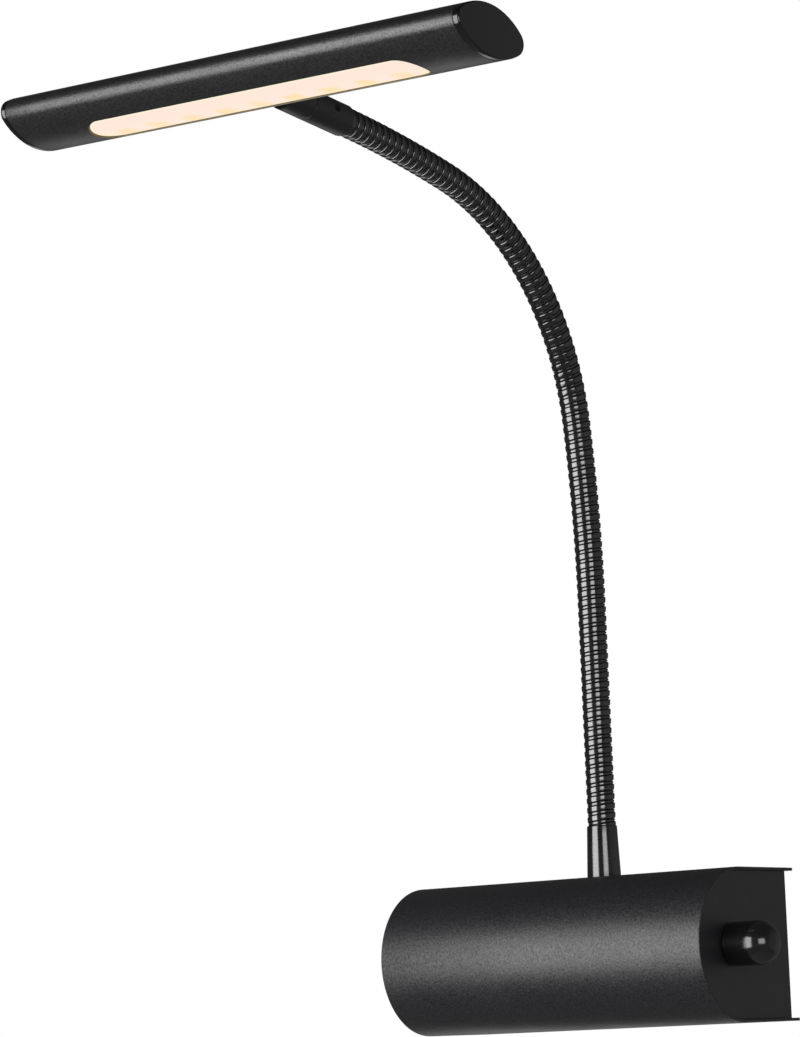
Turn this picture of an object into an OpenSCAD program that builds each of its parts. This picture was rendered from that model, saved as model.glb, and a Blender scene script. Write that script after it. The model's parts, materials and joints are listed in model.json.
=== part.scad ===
// Wall lamp on a gooseneck, in millimetres.
// Origin: middle of the base on the wall. X runs along the wall, -Y comes out of the wall, +Z is up.

/* [Base] */
// Height of the base, which is also the diameter of its round front
base_h = 60; // [56:1:70]
// Length of the base along the wall
base_l = 156; // [150:1:190]
// Depth of the base, from the wall to its front
base_d = 67.6; // [64:0.2:80]
// Sheet thickness of the cover
sheet_t = 1.2; // [0.8:0.1:1.6]
// Sheet thickness of the end plates
plate_t = 1.5; // [1:0.1:2]
// Distance from the cover's end to the face of an end plate
plate_inset = 1.5; // [0.5:0.1:3]
// Distance from the wall to the rear edge of an end plate
plate_back = 3.6; // [3:0.1:7]
// Length of the tabs that join an end plate to the cover
tab_l = 12; // [8:0.5:14]

/* [Wall bracket] */
// Length of the bracket's plate
bracket_l = 140; // [132:1:144]
// Height of the bracket's plate
bracket_h = 48; // [46:0.5:50]
// Sheet thickness of the bracket
bracket_t = 1.5; // [1:0.1:2]
// Distance between the two slots for wall screws
slot_gap = 100; // [98:0.5:104]
// Width of a slot
slot_w = 4.5; // [3.5:0.1:6]
// Length of a slot, end to end
slot_l = 10; // [8:0.5:12]
// Width of a lug that carries the cover
lug_w = 14; // [10:0.5:16]
// Depth of a lug, from the wall
lug_d = 14; // [12:0.5:18]
// Radius of the cover screws, M3
cover_screw_r = 1.5; // [1.2:0.1:2]
// Radius of the hole for the mains cable, in the grommet
entry_r = 4; // [3:0.1:5]
// Rubber wall of the grommet
grommet_wall = 2.9; // [2:0.1:3.5]

/* [Electrics] */
// Length of the driver's case along the wall
driver_l = 28; // [24:0.5:29]
// Height of the driver's case
driver_h = 34; // [28:0.5:35]
// Depth of the driver's case
driver_d = 22; // [21:0.5:26]
// Distance between two poles of the terminal block
pole_gap = 11; // [10.6:0.1:11.5]
// Depth of the terminal block
block_d = 14; // [12:0.5:16]
// Height of the terminal block
block_h = 13; // [12:0.5:15]
// Radius of a lead
lead_r = 1; // [0.8:0.05:1.2]

/* [Dimmer] */
// Distance from the wall to the knob's axis
knob_out = 43; // [34:0.5:46]
// Radius of the knob
knob_r = 8.6; // [8.4:0.1:10]
// Length of the knob, with its dome
knob_l = 20; // [18:0.5:30]
// Gap between the knob and the end plate
knob_gap = 0.8; // [0.7:0.1:1.5]
// Radius of the dimmer's shaft
shaft_r = 3; // [2.5:0.1:3.4]
// Radius of the dimmer's threaded bush
bush_r = 4.5; // [4.2:0.1:4.8]
// Side of the dimmer's square case
dimmer_w = 17; // [15:0.5:20]
// Depth of the dimmer's case
dimmer_t = 9; // [7:0.5:11]

/* [Neck] */
// Length of the gooseneck between the collar and the sleeve
neck_l = 358; // [300:1:420]
// Radius over the winding
coil_r = 5.45; // [5.3:0.05:5.6]
// Distance between two turns of the winding
coil_pitch = 3.8; // [3.4:0.1:4.4]
// Depth of the groove between two turns
groove_d = 0.85; // [0.4:0.05:0.9]
// Height of the collar on the base
collar_h = 21.4; // [18:0.1:26]
// Radius of the collar on the base's top
collar_r = 6.85; // [6.2:0.05:8]
// Radius of the collar at its upper end
collar_top_r = 6.05; // [5.7:0.05:6.2]
// Radius of the threaded nipple under the collar
nipple_r = 4; // [3.8:0.1:4.3]
// Radius of the cable to the head
cable_r = 1.5; // [1.2:0.05:1.6]
// Straight rise of the neck above the collar, before its bends
neck_rise = 90; // [60:1:120]
// Lean of the neck's first, slow bend, in degrees
lean_turn = 7.5; // [0:0.5:12]
// Length of that slow bend
lean_l = 74; // [50:1:100]
// Turn of the neck's main bend, in degrees
main_turn = 68; // [40:1:75]
// Length of the main bend
main_l = 129; // [110:1:150]
// Turn of the last, slow bend before the sleeve, in degrees
last_turn = 6.5; // [0:0.5:15]

/* [Head] */
// Length of the head, end caps included
head_l = 226; // [205:1:280]
// Half the width of the oval tube
oval_a = 19.5; // [19:0.1:24]
// Half the height of the oval tube
oval_b = 9.75; // [9.5:0.05:11]
// Radius of the oval's narrow edges
edge_r = 5; // [4.8:0.1:5.6]
// Wall of the tube
tube_t = 1.2; // [1:0.1:1.4]
// Roll of the head about the neck's axis, in degrees
head_roll = 1.5; // [-5:0.5:5]
// Length of the light slot, end to end
window_l = 162; // [120:1:176]
// Distance of the light slot's middle from the head's middle, towards the knob's side
window_shift = 2; // [-3:0.5:3]
// Width of the light slot
window_w = 18; // [14:0.5:19]
// Depth of the diffuser's face inside the slot
window_recess = 0.6; // [0.3:0.1:1]
// Rim of an end cap that shows outside the tube
cap_rim = 1.8; // [1.5:0.1:4]
// Depth of an end cap's plug in the tube
cap_plug = 8; // [6:0.5:10]
// Length of the sleeve on the neck's end
sleeve_l = 22; // [19:0.5:26]
// Radius of the sleeve and of the stub
sleeve_r = 6.25; // [6.1:0.05:7]
// Length of the stub between the sleeve and the tube
stub_l = 11.5; // [8:0.5:16]
// Number of LEDs on the board
led_count = 10; // [6:1:11]
// Length of the LED board, over which the LEDs are spread evenly
board_l = 170; // [150:1:176]
// Thickness of the carrier strip
carrier_t = 1.3; // [1:0.1:1.5]

/* [Hidden] */
// Number of lengths that the gooseneck is hinged from
sections = 10;
$fn = 64;

// Clearances: a running fit, a seat that doesn't move, and a screw's hole
running = 0.05;
seat = 0.1;
screw_gap = 0.2;
// Length by which a cut runs past a face
past = 1;

black_coat = "#2b2b2c";
black_gloss = "#141414";
zinc = "#b9bcc0";
brass = "#c9a24a";
white_plastic = "#e8e6df";
grey_plastic = "#6a6c70";

// Base
half_h = base_h / 2;
flat_d = base_d - half_h;
inner_h = half_h - sheet_t;
plate_out = base_l / 2 - plate_inset;
plate_in = plate_out - plate_t;
tab_margin = 4;

// Bracket and what it carries
lug_inset = 18;
lug_x = bracket_l / 2 - lug_inset;
lug_top = inner_h - seat;
cover_screw_y = -(bracket_t + lug_d) / 2;
cover_screw_l = 6;
bracket_corner = 5;
grommet_r = entry_r + grommet_wall;
grommet_lip = 2.5;
grommet_lip_t = 2.5;
entry_x = 25;
entry_z = 9.5;
inner_screw_r = 1.5;
case_corner = 2;
ear_t = 2;
ear_w = 10;
ear_l = 6;
// The cable to the head leaves the driver's side and bends up into the neck
cable_bend = 12;
driver_x = -cable_bend - driver_l / 2;
driver_front = -bracket_t - driver_d;
block_x = 25;
block_z = -15;
block_l = 3 * pole_gap - 1;
pole_r = 1.8;
wire_r = 1.6;
earth_inset = 7;
earth_x = bracket_l / 2 - earth_inset;
earth_z = 12;
earth_r = 2;
earth_tag_t = 0.8;
head_h = 1.8;
head_wide = 1.25;

// Dimmer, on the axis of its shaft
knob_back = plate_out + knob_gap;
dome_start = knob_l - knob_r;
washer_t = 0.6;
nut_t = 2.2;
nut_r = bush_r + 2.3;
bush_l = plate_t + washer_t + nut_t + 0.7;
hub_start = plate_in + bush_l + 1 - knob_back;
shaft_end = knob_back + dome_start - 2;

// Neck: a straight rise, three bends and the straight line of the sleeve and the stub
neck_y = -flat_d / 2;
collar_top = half_h + collar_h;
last_l = neck_l - neck_rise - lean_l - main_l;
head_at = neck_l + sleeve_l + stub_l + oval_a;
neck_runs = [[neck_rise, 0], [lean_l, lean_turn], [main_l, main_turn], [last_l, last_turn], [head_at, 0]];
hinge_gap = neck_l / (sections - 1);
neck_bore = cable_r + 1.1;
tube_bore = neck_bore + 0.4;
core_r = coil_r - groove_d - 0.1;
stem_r = 3.5;
stem_l = 10;
nipple_l = 20;
nipple_up = 11;
neck_washer_t = 1;
neck_washer_wide = 4;
lock_nut_t = 4;
lock_nut_wide = 3.5;
plug_l = 5.5;
plug_r = coil_r - 0.25;
// Swivel seat between two sections: a ball in a socket, both with the neck's bore
ball_r = coil_r - 0.15;
ball_front = 3.4;
rim = 1.7;
shoulder = 2.4;
ring_l = 3;
socket_l = 3.9;
ring_chamfer = 0.4;
bite = 0.9;
run_in = bite + 0.4;
// Winding: corners round the tube, rings in each turn, and the flat part of a turn beside its crest
coil_sides = 10;
rings_per_turn = 4;
crest_share = 0.27;
cable_sides = 8;
cable_step = 8;
cable_drop = 26;
cable_low = half_h - cable_drop;

// Head, on the oval's own centre lines
edge_at = oval_a - edge_r;
side_r = (edge_at * edge_at + oval_b * oval_b - edge_r * edge_r) / (2 * (oval_b - edge_r));
side_at = side_r - oval_b;
tube_l = head_l - 2 * cap_rim;
diffuser_side = window_w / 2 + 1.6;
diffuser_over = 6;
led_size = [3.5, 0.7, 2.8];
led_pitch = board_l / led_count;
board_t = 1;
board_w = 12;
led_drop = 0.5;
carrier_top = -cable_r - 0.2;
carrier_low = carrier_top - carrier_t;
board_low = carrier_low - board_t;
diffuser_top = board_low - led_size.y - led_drop;
rail_t = 1.1;
rail_from = 15;
carrier_half = edge_at + sqrt(pow(edge_r - tube_t, 2) - pow(carrier_low, 2)) - 0.4;
carrier_end = 3;
cable_hole = cable_r + 0.4;
journal_r = sleeve_r - 1.75;
journal_from = plug_l + 1.3;
journal_l = sleeve_l - journal_from;
grub_r = 1.5;
grub_at = 10.5;
grub_angle = 8;
groove_w = 2 * grub_r + 0.6;
groove_r = journal_r - 0.8;
shank_r = 3.5;
stub_nut_r = 5;
stub_nut_t = 2.5;
stub_nut_at = sqrt(pow(side_r - tube_t, 2) - pow(side_at + stub_nut_r + seat, 2));
shank_end = stub_nut_at - stub_nut_t - 0.6;
saddle_wrap = 2;
connector_size = [10, 4, 8];
connector_back = 2;

// Shapes that several pieces share

// Extrudes a profile drawn in Y and Z along X, centred
module along_x(length) { rotate([90, 0, 90]) linear_extrude(length, center = true) children(); }

// Turns a profile, drawn as radius and distance, about an axis along X, Y or Z
module about_x() { rotate([0, 90, 0]) rotate_extrude() children(); }
module about_y() { rotate([-90, 0, 0]) rotate_extrude() children(); }

module stadium(length, width) {
  square([length - width, width], center = true);
  for (side = [-1, 1]) translate([side * (length - width) / 2, 0]) circle(d = width);
}

module rounded_rect(size, r) {
  square([size.x - 2 * r, size.y], center = true);
  square([size.x, size.y - 2 * r], center = true);
  for (sx = [-1, 1], sy = [-1, 1]) translate([sx * (size.x / 2 - r), sy * (size.y / 2 - r)]) circle(r);
}

// Outline of the base's ends, drawn in by inset, with its straight rear edge set off the wall by back
module base_outline(inset, back) {
  translate([-flat_d, 0]) circle(half_h - inset);
  translate([-flat_d, inset - half_h]) square([flat_d - back, 2 * (half_h - inset)]);
}

// Pan-head screw with a slot: its head lies above Z = 0 and its shank below
module pan_screw(r, shank, head) {
  difference() {
    cylinder(r = r + head_wide, h = head);
    translate([0, 0, head]) cube([2 * r + 2, 0.5 * r, head], center = true);
  }
  translate([0, 0, -shank]) cylinder(r = r, h = shank + head / 4);
}

// Countersunk screw with a slot: its head's face lies at Z = 0 and its shank below
module flat_screw(r, shank, head) {
  difference() {
    translate([0, 0, -head]) cylinder(r1 = r, r2 = r + head, h = head);
    cube([2 * (r + head) + past, 0.5 * r, head], center = true);
  }
  translate([0, 0, -shank]) cylinder(r = r, h = shank - 0.75 * head);
}

// Insulated wire: up by rise, a quarter bend, then along X by run
module bent_lead(rise, bend, run) {
  cylinder(r = lead_r, h = rise);
  translate([bend, 0, rise]) rotate([90, 0, 0]) rotate([0, 0, 90])
    rotate_extrude(angle = 90) translate([bend, 0]) circle(lead_r);
  translate([bend, 0, rise + bend]) rotate([0, 90, 0]) cylinder(r = lead_r, h = run);
}

// Wall bracket and what is screwed to it

module wall_bracket() {
  color(zinc) difference() {
    union() {
      rotate([90, 0, 0]) linear_extrude(bracket_t) rounded_rect([bracket_l, bracket_h], bracket_corner);
      for (sx = [-1, 1], sz = [-1, 1]) translate([sx * lug_x, 0, 0]) bracket_lug(sz);
    }
    for (side = [-1, 1]) translate([side * slot_gap / 2, past, 0])
      rotate([90, 0, 0]) linear_extrude(bracket_t + 2 * past) stadium(slot_l, slot_w);
    for (side = [-1, 1]) translate([side * lug_x, cover_screw_y, -half_h])
      cylinder(r = cover_screw_r + running, h = half_h - bracket_h / 2);
    bracket_hole(entry_x, entry_z, grommet_r + seat);
    bracket_hole(earth_x, earth_z, earth_r + running);
    inner_screw_places() cylinder(r = inner_screw_r + running, h = 4 * bracket_t, center = true);
  }
}

// One lug: up the wall from the plate's edge, then forward inside the cover
module bracket_lug(side) {
  rise = lug_top - bracket_h / 2 + past;
  translate([0, -bracket_t / 2, side * (lug_top - rise / 2)]) cube([lug_w, bracket_t, rise], center = true);
  translate([0, -lug_d / 2, side * (lug_top - bracket_t / 2)])
    cube([lug_w, lug_d, bracket_t], center = true);
}

module bracket_hole(x, z, r) {
  translate([x, past, z]) rotate([90, 0, 0]) cylinder(r = r, h = bracket_t + 2 * past);
}

// Puts its children at each screw of the driver and the terminal block, on the bracket's front
module inner_screw_places() {
  for (side = [-1, 1]) {
    translate([driver_x, -bracket_t, side * (driver_h + ear_l) / 2]) rotate([90, 0, 0]) children();
    translate([block_x + side * pole_gap / 2, -bracket_t, block_z]) rotate([90, 0, 0]) children();
  }
}

module cable_grommet() {
  color("#303030") translate([entry_x, 0, entry_z]) about_y() {
    translate([entry_r, -bracket_t]) square([grommet_r - entry_r, bracket_t]);
    translate([entry_r, -bracket_t - grommet_lip_t])
      square([grommet_r + grommet_lip - entry_r, grommet_lip_t]);
  }
}

module led_driver() {
  color(white_plastic) {
    translate([driver_x, -bracket_t, 0]) rotate([90, 0, 0])
      linear_extrude(driver_d) rounded_rect([driver_l, driver_h], case_corner);
    difference() {
      translate([driver_x, -bracket_t, 0]) rotate([90, 0, 0])
        linear_extrude(ear_t) rounded_rect([ear_w, driver_h + 2 * ear_l], case_corner);
      inner_screw_places() cylinder(r = inner_screw_r + screw_gap, h = 3 * ear_t, center = true);
    }
  }
}

module terminal_block() {
  color(white_plastic) difference() {
    translate([block_x, -bracket_t, block_z]) rotate([90, 0, 0])
      linear_extrude(block_d) rounded_rect([block_l, block_h], case_corner / 2);
    for (pole = [-1:1]) translate([block_x + pole * pole_gap, -bracket_t - block_d / 2, block_z]) {
      cylinder(r = wire_r, h = block_h + past, center = true);
      for (side = [-1, 1]) translate([0, 0, side * block_h / 4])
        rotate([90, 0, 0]) cylinder(r = pole_r + running, h = block_d);
    }
    inner_screw_places() {
      cylinder(r = inner_screw_r + screw_gap, h = 3 * ear_t, center = true);
      translate([0, 0, ear_t]) cylinder(r = inner_screw_r + head_wide + screw_gap, h = block_d);
    }
  }
}

// Clamping screws of the terminal block, two to a pole
module terminal_screws() {
  screw_l = block_d / 2 - wire_r - 1;
  color(brass) for (pole = [-1:1], side = [-1, 1])
    translate([block_x + pole * pole_gap, -bracket_t - block_d / 2 - wire_r, block_z + side * block_h / 4])
      rotate([90, 0, 0]) difference() {
        cylinder(r = pole_r, h = screw_l);
        translate([0, 0, screw_l]) cube([2 * pole_r + past, 0.8, 1.2], center = true);
      }
}

// Screws of the driver's ears and of the terminal block
module inner_screws() {
  color(zinc) inner_screw_places() translate([0, 0, ear_t + running])
    pan_screw(inner_screw_r, ear_t + bracket_t, head_h);
}

// Ring tag for the earth wire, with its crimp barrel
module earth_tag() {
  tail = [3, 9, earth_tag_t];
  barrel_r = 1.4;
  barrel_l = 6;
  barrel_wall = 0.5;
  color(brass) translate([earth_x, -bracket_t, earth_z]) rotate([90, 0, 0]) difference() {
    union() {
      cylinder(r = 2 * earth_r, h = earth_tag_t);
      translate([-tail.x / 2, -tail.y, 0]) cube(tail);
      translate([0, -barrel_l, barrel_r + seat]) rotate([90, 0, 0]) cylinder(r = barrel_r, h = barrel_l);
    }
    translate([0, 0, -past]) cylinder(r = earth_r + screw_gap, h = earth_tag_t + 2 * past);
    translate([0, -barrel_l - past, barrel_r + seat]) rotate([90, 0, 0])
      cylinder(r = barrel_r - barrel_wall, h = barrel_l);
  }
}

module earth_screw() {
  color(zinc) translate([earth_x, -bracket_t - earth_tag_t - running, earth_z]) rotate([90, 0, 0])
    pan_screw(earth_r, bracket_t + earth_tag_t, head_h);
}

// Live and neutral, from the terminal block's upper side to the driver
module mains_leads() {
  block_top = block_z + block_h / 2;
  bend = 5;
  in_block = 3;
  first_rise = 2.5;
  level_gap = 3;
  color("#8a4b2a") for (wire = [0, 1]) {
    x = block_x - pole_gap + wire * pole_gap;
    rise = in_block + first_rise + level_gap * wire;
    translate([x, -bracket_t - block_d / 2, block_top - in_block]) rotate([0, 0, 180])
      bent_lead(rise, bend, x - bend - driver_x - driver_l / 2 - running);
  }
}

// Two leads from the driver's front to the back of the dimmer
module dimmer_leads() {
  bend = 6;
  apart = 8;
  start_x = driver_x + driver_l / 4;
  color("#d8d8d8") for (side = [-1, 1])
    translate([start_x, driver_front - running, side * apart / 2]) rotate([90, 0, 0])
      bent_lead(knob_out + driver_front - bend, bend, plate_in - dimmer_t - start_x - bend - 2 * running);
}

// Cover, end plates and their screws

module base_cover() {
  color(black_coat) difference() {
    along_x(base_l) difference() {
      base_outline(0, 0);
      base_outline(sheet_t, -past);
    }
    translate([0, neck_y, inner_h - past]) cylinder(r = nipple_r + screw_gap, h = sheet_t + 2 * past);
    for (side = [-1, 1]) translate([side * lug_x, cover_screw_y, -half_h - past]) {
      cylinder(r = cover_screw_r + seat, h = sheet_t + 2 * past);
      cylinder(r1 = cover_screw_r + seat + sheet_t + past, r2 = cover_screw_r + seat, h = sheet_t + past);
    }
  }
}

module end_plate(side) {
  tab_w = flat_d - plate_back - 2 * tab_margin;
  tab_y = -plate_back - tab_margin - tab_w / 2;
  color(black_coat) {
    translate([side * (plate_in + plate_t / 2), 0, 0])
      along_x(plate_t) base_outline(sheet_t + seat, plate_back);
    for (sz = [-1, 1])
      translate([side * (plate_in - tab_l / 2 + plate_t / 4), tab_y, sz * (lug_top - plate_t / 2)])
        cube([tab_l + plate_t / 2, tab_w, plate_t], center = true);
  }
}

module end_plate_left() { end_plate(-1); }

module end_plate_right() {
  color(black_coat) difference() {
    end_plate(1);
    on_knob_axis(plate_in - past) rotate([0, 90, 0])
      cylinder(r = bush_r + screw_gap, h = plate_t + 2 * past);
  }
}

// Two screws from below, countersunk in the cover
module cover_screws() {
  color(black_coat) for (side = [-1, 1]) translate([side * lug_x, cover_screw_y, -half_h + running])
    rotate([180, 0, 0]) flat_screw(cover_screw_r, cover_screw_l, sheet_t - running);
}

// Dimmer in the right end plate

module on_knob_axis(x) { translate([x, -knob_out, 0]) children(); }

module dimmer_body() {
  color(grey_plastic) on_knob_axis(plate_in) difference() {
    union() {
      translate([-dimmer_t - running, 0, 0]) rotate([90, 0, 90])
        linear_extrude(dimmer_t) rounded_rect([dimmer_w, dimmer_w], case_corner);
      about_x() translate([0, -past]) square([bush_r, bush_l + past]);
    }
    about_x() translate([0, -dimmer_t / 2]) square([shaft_r + running, dimmer_t + bush_l]);
  }
}

module dimmer_washer() {
  color(zinc) on_knob_axis(plate_out + running) about_x()
    translate([bush_r + seat, 0]) square([nut_r - bush_r, washer_t]);
}

module dimmer_nut() {
  color(zinc) on_knob_axis(plate_out + washer_t + 2 * running) rotate([0, 90, 0]) difference() {
    cylinder(r = nut_r, h = nut_t, $fn = 6);
    translate([0, 0, -past]) cylinder(r = bush_r + running, h = nut_t + 2 * past);
  }
}

module dimmer_shaft() {
  color(zinc) on_knob_axis(plate_in - dimmer_t / 2 + seat) rotate([0, 90, 0])
    cylinder(r = shaft_r, h = shaft_end - plate_in + dimmer_t / 2 - seat);
}

// Knob with a domed end and a hollow back that hides the dimmer's nut
module dimmer_knob() {
  color(black_gloss) on_knob_axis(knob_back) about_x() difference() {
    union() {
      square([knob_r, dome_start]);
      translate([0, dome_start]) intersection() {
        circle(knob_r);
        square(knob_r);
      }
    }
    translate([0, -past]) square([nut_r + seat + screw_gap, hub_start + past]);
    translate([0, -past]) square([shaft_r + running, shaft_end - knob_back + seat + past]);
  }
}

// Neck

// Forward reach, rise and heading of the neck's centre line at a distance along it
function neck_state(s, run = 0, f = 0, u = 0, a = 0) =
  let (run_l = neck_runs[run][0], turn = neck_runs[run][1], here = min(s, run_l), d = turn * here / run_l)
  let (r = turn == 0 ? 0 : run_l / (turn * PI / 180))
  let (f1 = turn == 0 ? f + here * sin(a) : f + r * (cos(a) - cos(a + d)))
  let (u1 = turn == 0 ? u + here * cos(a) : u + r * (sin(a + d) - sin(a)))
  s > run_l && run < len(neck_runs) - 1 ? neck_state(s - run_l, run + 1, f1, u1, a + d) : [f1, u1, a + d];

function neck_at(s) = let (n = neck_state(s)) [0, neck_y - n[0], collar_top + n[1]];
function neck_heading(s) = neck_state(s)[2];
// Place of hinge k along the neck
function hinge_at(k) = (k + 0.5) * hinge_gap;

// Puts its children on the neck's centre line, Z along the neck
module at_neck(s) { translate(neck_at(s)) rotate([neck_heading(s), 0, 0]) children(); }

// Corner of a ring round the centre line, at an angle from X
function ring_point(s, angle, r) =
  let (a = neck_heading(s)) neck_at(s) + r * [cos(angle), sin(angle) * cos(a), sin(angle) * sin(a)];

// Radius over the winding: a right-handed turn with a flat crest and a groove
function coil_radius(s, angle) =
  let (phase = s / coil_pitch - angle / 360, off = abs(phase - round(phase)))
  coil_r - groove_d * max(0, (off - crest_share) / (0.5 - crest_share));

// Triangles between neighbouring rings, numbered from first, with their outside turned out or in
function skin(first, rings, sides, outward) = [
  for (i = [0:rings - 2], j = [0:sides - 1])
    let (a = first + i * sides + j, b = first + i * sides + (j + 1) % sides, c = a + sides, d = b + sides)
    each outward ? [[a, c, d], [a, d, b]] : [[a, d, c], [a, b, d]]
];

// Wound tube along the neck, plain at both ends where it enters a ring, with a plain bore
module wound_tube(from, to) {
  turns_l = to - from - 2 * run_in;
  steps = round(turns_l / coil_pitch * rings_per_turn);
  wound = [for (i = [1:steps - 1]) from + run_in + turns_l * i / steps];
  outer = concat([from, from + run_in], wound, [to - run_in, to]);
  bore_steps = ceil((to - from) / cable_step);
  inner = [for (i = [0:bore_steps]) from + (to - from) * i / bore_steps];
  n = len(outer);
  m = len(inner);
  angles = [for (j = [0:coil_sides - 1]) 360 * j / coil_sides];
  points = concat(
    [
      for (i = [0:n - 1], t = angles)
        let (plain = i < 2 || i > n - 3) ring_point(outer[i], t, plain ? core_r : coil_radius(outer[i], t))
    ],
    [for (s = inner, t = angles) ring_point(s, t, tube_bore)]
  );
  in0 = n * coil_sides;
  out1 = (n - 1) * coil_sides;
  in1 = in0 + (m - 1) * coil_sides;
  ends = [
    for (j = [0:coil_sides - 1])
      let (k = (j + 1) % coil_sides)
      each [
        [j, k, in0 + k], [j, in0 + k, in0 + j],
        [out1 + j, in1 + k, out1 + k], [out1 + j, in1 + j, in1 + k]
      ]
  ];
  faces = concat(skin(0, n, coil_sides, true), skin(in0, m, coil_sides, false), ends);
  polyhedron(points, faces, convexity = 10);
}

// Ring of the winding's own size, from a lower to an upper level, as a profile
module ring_profile(low, high) {
  polygon([
    [neck_bore, low], [coil_r - ring_chamfer, low], [coil_r, low + ring_chamfer],
    [coil_r, high - ring_chamfer], [coil_r - ring_chamfer, high], [neck_bore, high]
  ]);
}

// Ball at a section's upper end, on the hinge, with the ring that it stands on
module neck_ball() {
  rotate_extrude() {
    intersection() {
      circle(ball_r);
      translate([neck_bore, -ball_r]) square([ball_r, ball_r + ball_front]);
    }
    ring_profile(-shoulder - ring_l, -shoulder);
  }
}

// Socket at a section's lower end, round the ball of the section below
module neck_socket() {
  rotate_extrude() difference() {
    ring_profile(rim, rim + socket_l);
    circle(ball_r + running);
  }
}

// One length of the gooseneck, between two hinges
module neck_section(k) {
  first = k == 0;
  last = k == sections - 1;
  from = first ? ring_l - bite : hinge_at(k - 1) + rim + socket_l - bite;
  to = last ? neck_l - ring_l + bite : hinge_at(k) - shoulder - ring_l + bite;
  color(black_gloss) {
    wound_tube(from, to);
    if (first) neck_root();
    else at_neck(hinge_at(k - 1)) neck_socket();
    if (last) neck_tip();
    else at_neck(hinge_at(k)) neck_ball();
  }
}

// Lower end of the gooseneck: a stem in the collar
module neck_root() {
  at_neck(0) rotate_extrude() {
    ring_profile(seat, ring_l);
    translate([neck_bore, -stem_l]) square([stem_r - neck_bore, stem_l + ring_l / 2]);
  }
}

// Upper end of the gooseneck: a plug in the sleeve
module neck_tip() {
  at_neck(neck_l) rotate_extrude() {
    ring_profile(-ring_l, -seat);
    translate([neck_bore, -ring_l / 2]) square([plug_r - neck_bore, plug_l + ring_l / 2]);
  }
}

// Tapered collar on the base: threaded on the nipple, with the neck's stem in its upper end
module neck_collar() {
  color(black_gloss) translate([0, neck_y, half_h + running]) rotate_extrude() difference() {
    polygon([
      [0, 0], [collar_r, 0], [collar_top_r, collar_h - ring_chamfer],
      [collar_top_r - ring_chamfer, collar_h - running], [0, collar_h - running]
    ]);
    translate([0, -past]) square([nipple_r + running, nipple_up + past + 1]);
    square([stem_r + running, collar_h + past]);
  }
}

module neck_nipple() {
  color(brass) translate([0, neck_y, half_h + nipple_up - nipple_l]) rotate_extrude()
    translate([neck_bore, 0]) square([nipple_r - neck_bore, nipple_l]);
}

module neck_washer() {
  color(zinc) translate([0, neck_y, inner_h - neck_washer_t - running]) rotate_extrude()
    translate([nipple_r + seat, 0]) square([neck_washer_wide, neck_washer_t]);
}

module neck_lock_nut() {
  color(brass) translate([0, neck_y, inner_h - neck_washer_t - lock_nut_t - 2 * running]) difference() {
    cylinder(r = nipple_r + lock_nut_wide, h = lock_nut_t, $fn = 6);
    translate([0, 0, -past]) cylinder(r = nipple_r + running, h = lock_nut_t + 2 * past);
  }
}

// Stations of the cable: a centre point and two directions across it
function bend_station(t) = [
  [cable_bend * (sin(t) - 1), neck_y, cable_low + cable_bend * (1 - cos(t))],
  [sin(t), 0, -cos(t)],
  [0, 1, 0]
];
function neck_station(s) = let (a = neck_heading(s)) [neck_at(s), [1, 0, 0], [0, cos(a), sin(a)]];

// Cable from the driver's side, up through the neck and into the head
module neck_cable() {
  start_s = cable_low + cable_bend - collar_top;
  end_s = head_at - connector_back - seat;
  bend_steps = 5;
  steps = ceil((end_s - start_s) / cable_step);
  stations = concat(
    [for (i = [0:bend_steps - 1]) bend_station(90 * i / bend_steps)],
    [for (i = [0:steps]) neck_station(start_s + (end_s - start_s) * i / steps)]
  );
  rings = len(stations);
  points = [
    for (w = stations, j = [0:cable_sides - 1])
      let (q = 360 * j / cable_sides) w[0] + cable_r * (cos(q) * w[1] + sin(q) * w[2])
  ];
  top = (rings - 1) * cable_sides;
  ends = [for (j = [1:cable_sides - 2]) each [[0, j, j + 1], [top, top + j + 1, top + j]]];
  color("#d8d8d8") translate([running, 0, 0])
    polyhedron(points, concat(skin(0, rings, cable_sides, true), ends), convexity = 10);
}

// Sleeve and head

// Puts its children on the head's middle: X along the head, Y up, Z to the room along the neck's line
module in_head() { at_neck(head_at) rotate([0, 0, -head_roll]) children(); }

// Extrudes a profile along the head: its first axis points back to the neck and its second up
module head_x(length) { rotate([0, 90, 0]) linear_extrude(length, center = true) children(); }

// Four-arc oval of the head, drawn in by inset
module oval(inset) {
  edge = edge_r - inset;
  join = edge_at + edge * edge_at / norm([edge_at, side_at]);
  intersection() {
    translate([0, -side_at]) circle(side_r - inset);
    translate([0, side_at]) circle(side_r - inset);
    square([2 * join, 4 * oval_b], center = true);
  }
  for (side = [-1, 1]) translate([side * edge_at, 0]) circle(edge);
}

// Sleeve: the neck's plug goes in at its lower end, and the stub's journal turns in its upper end
module head_sleeve() {
  color(black_coat) at_neck(neck_l) difference() {
    rotate_extrude() difference() {
      polygon([
        [cable_hole, 0], [sleeve_r - ring_chamfer, 0], [sleeve_r, ring_chamfer],
        [sleeve_r, sleeve_l], [cable_hole, sleeve_l]
      ]);
      translate([0, -past]) square([plug_r + running, plug_l + seat + past]);
      translate([0, journal_from - seat]) square([journal_r + running, sleeve_l]);
    }
    on_grub() cylinder(r = grub_r + running, h = sleeve_r + past);
  }
}

// Puts its children in the sleeve's cross hole, Z outwards from the neck's line
module on_grub() { translate([0, 0, grub_at]) rotate([0, 0, grub_angle]) rotate([0, 90, 0]) children(); }

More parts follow.
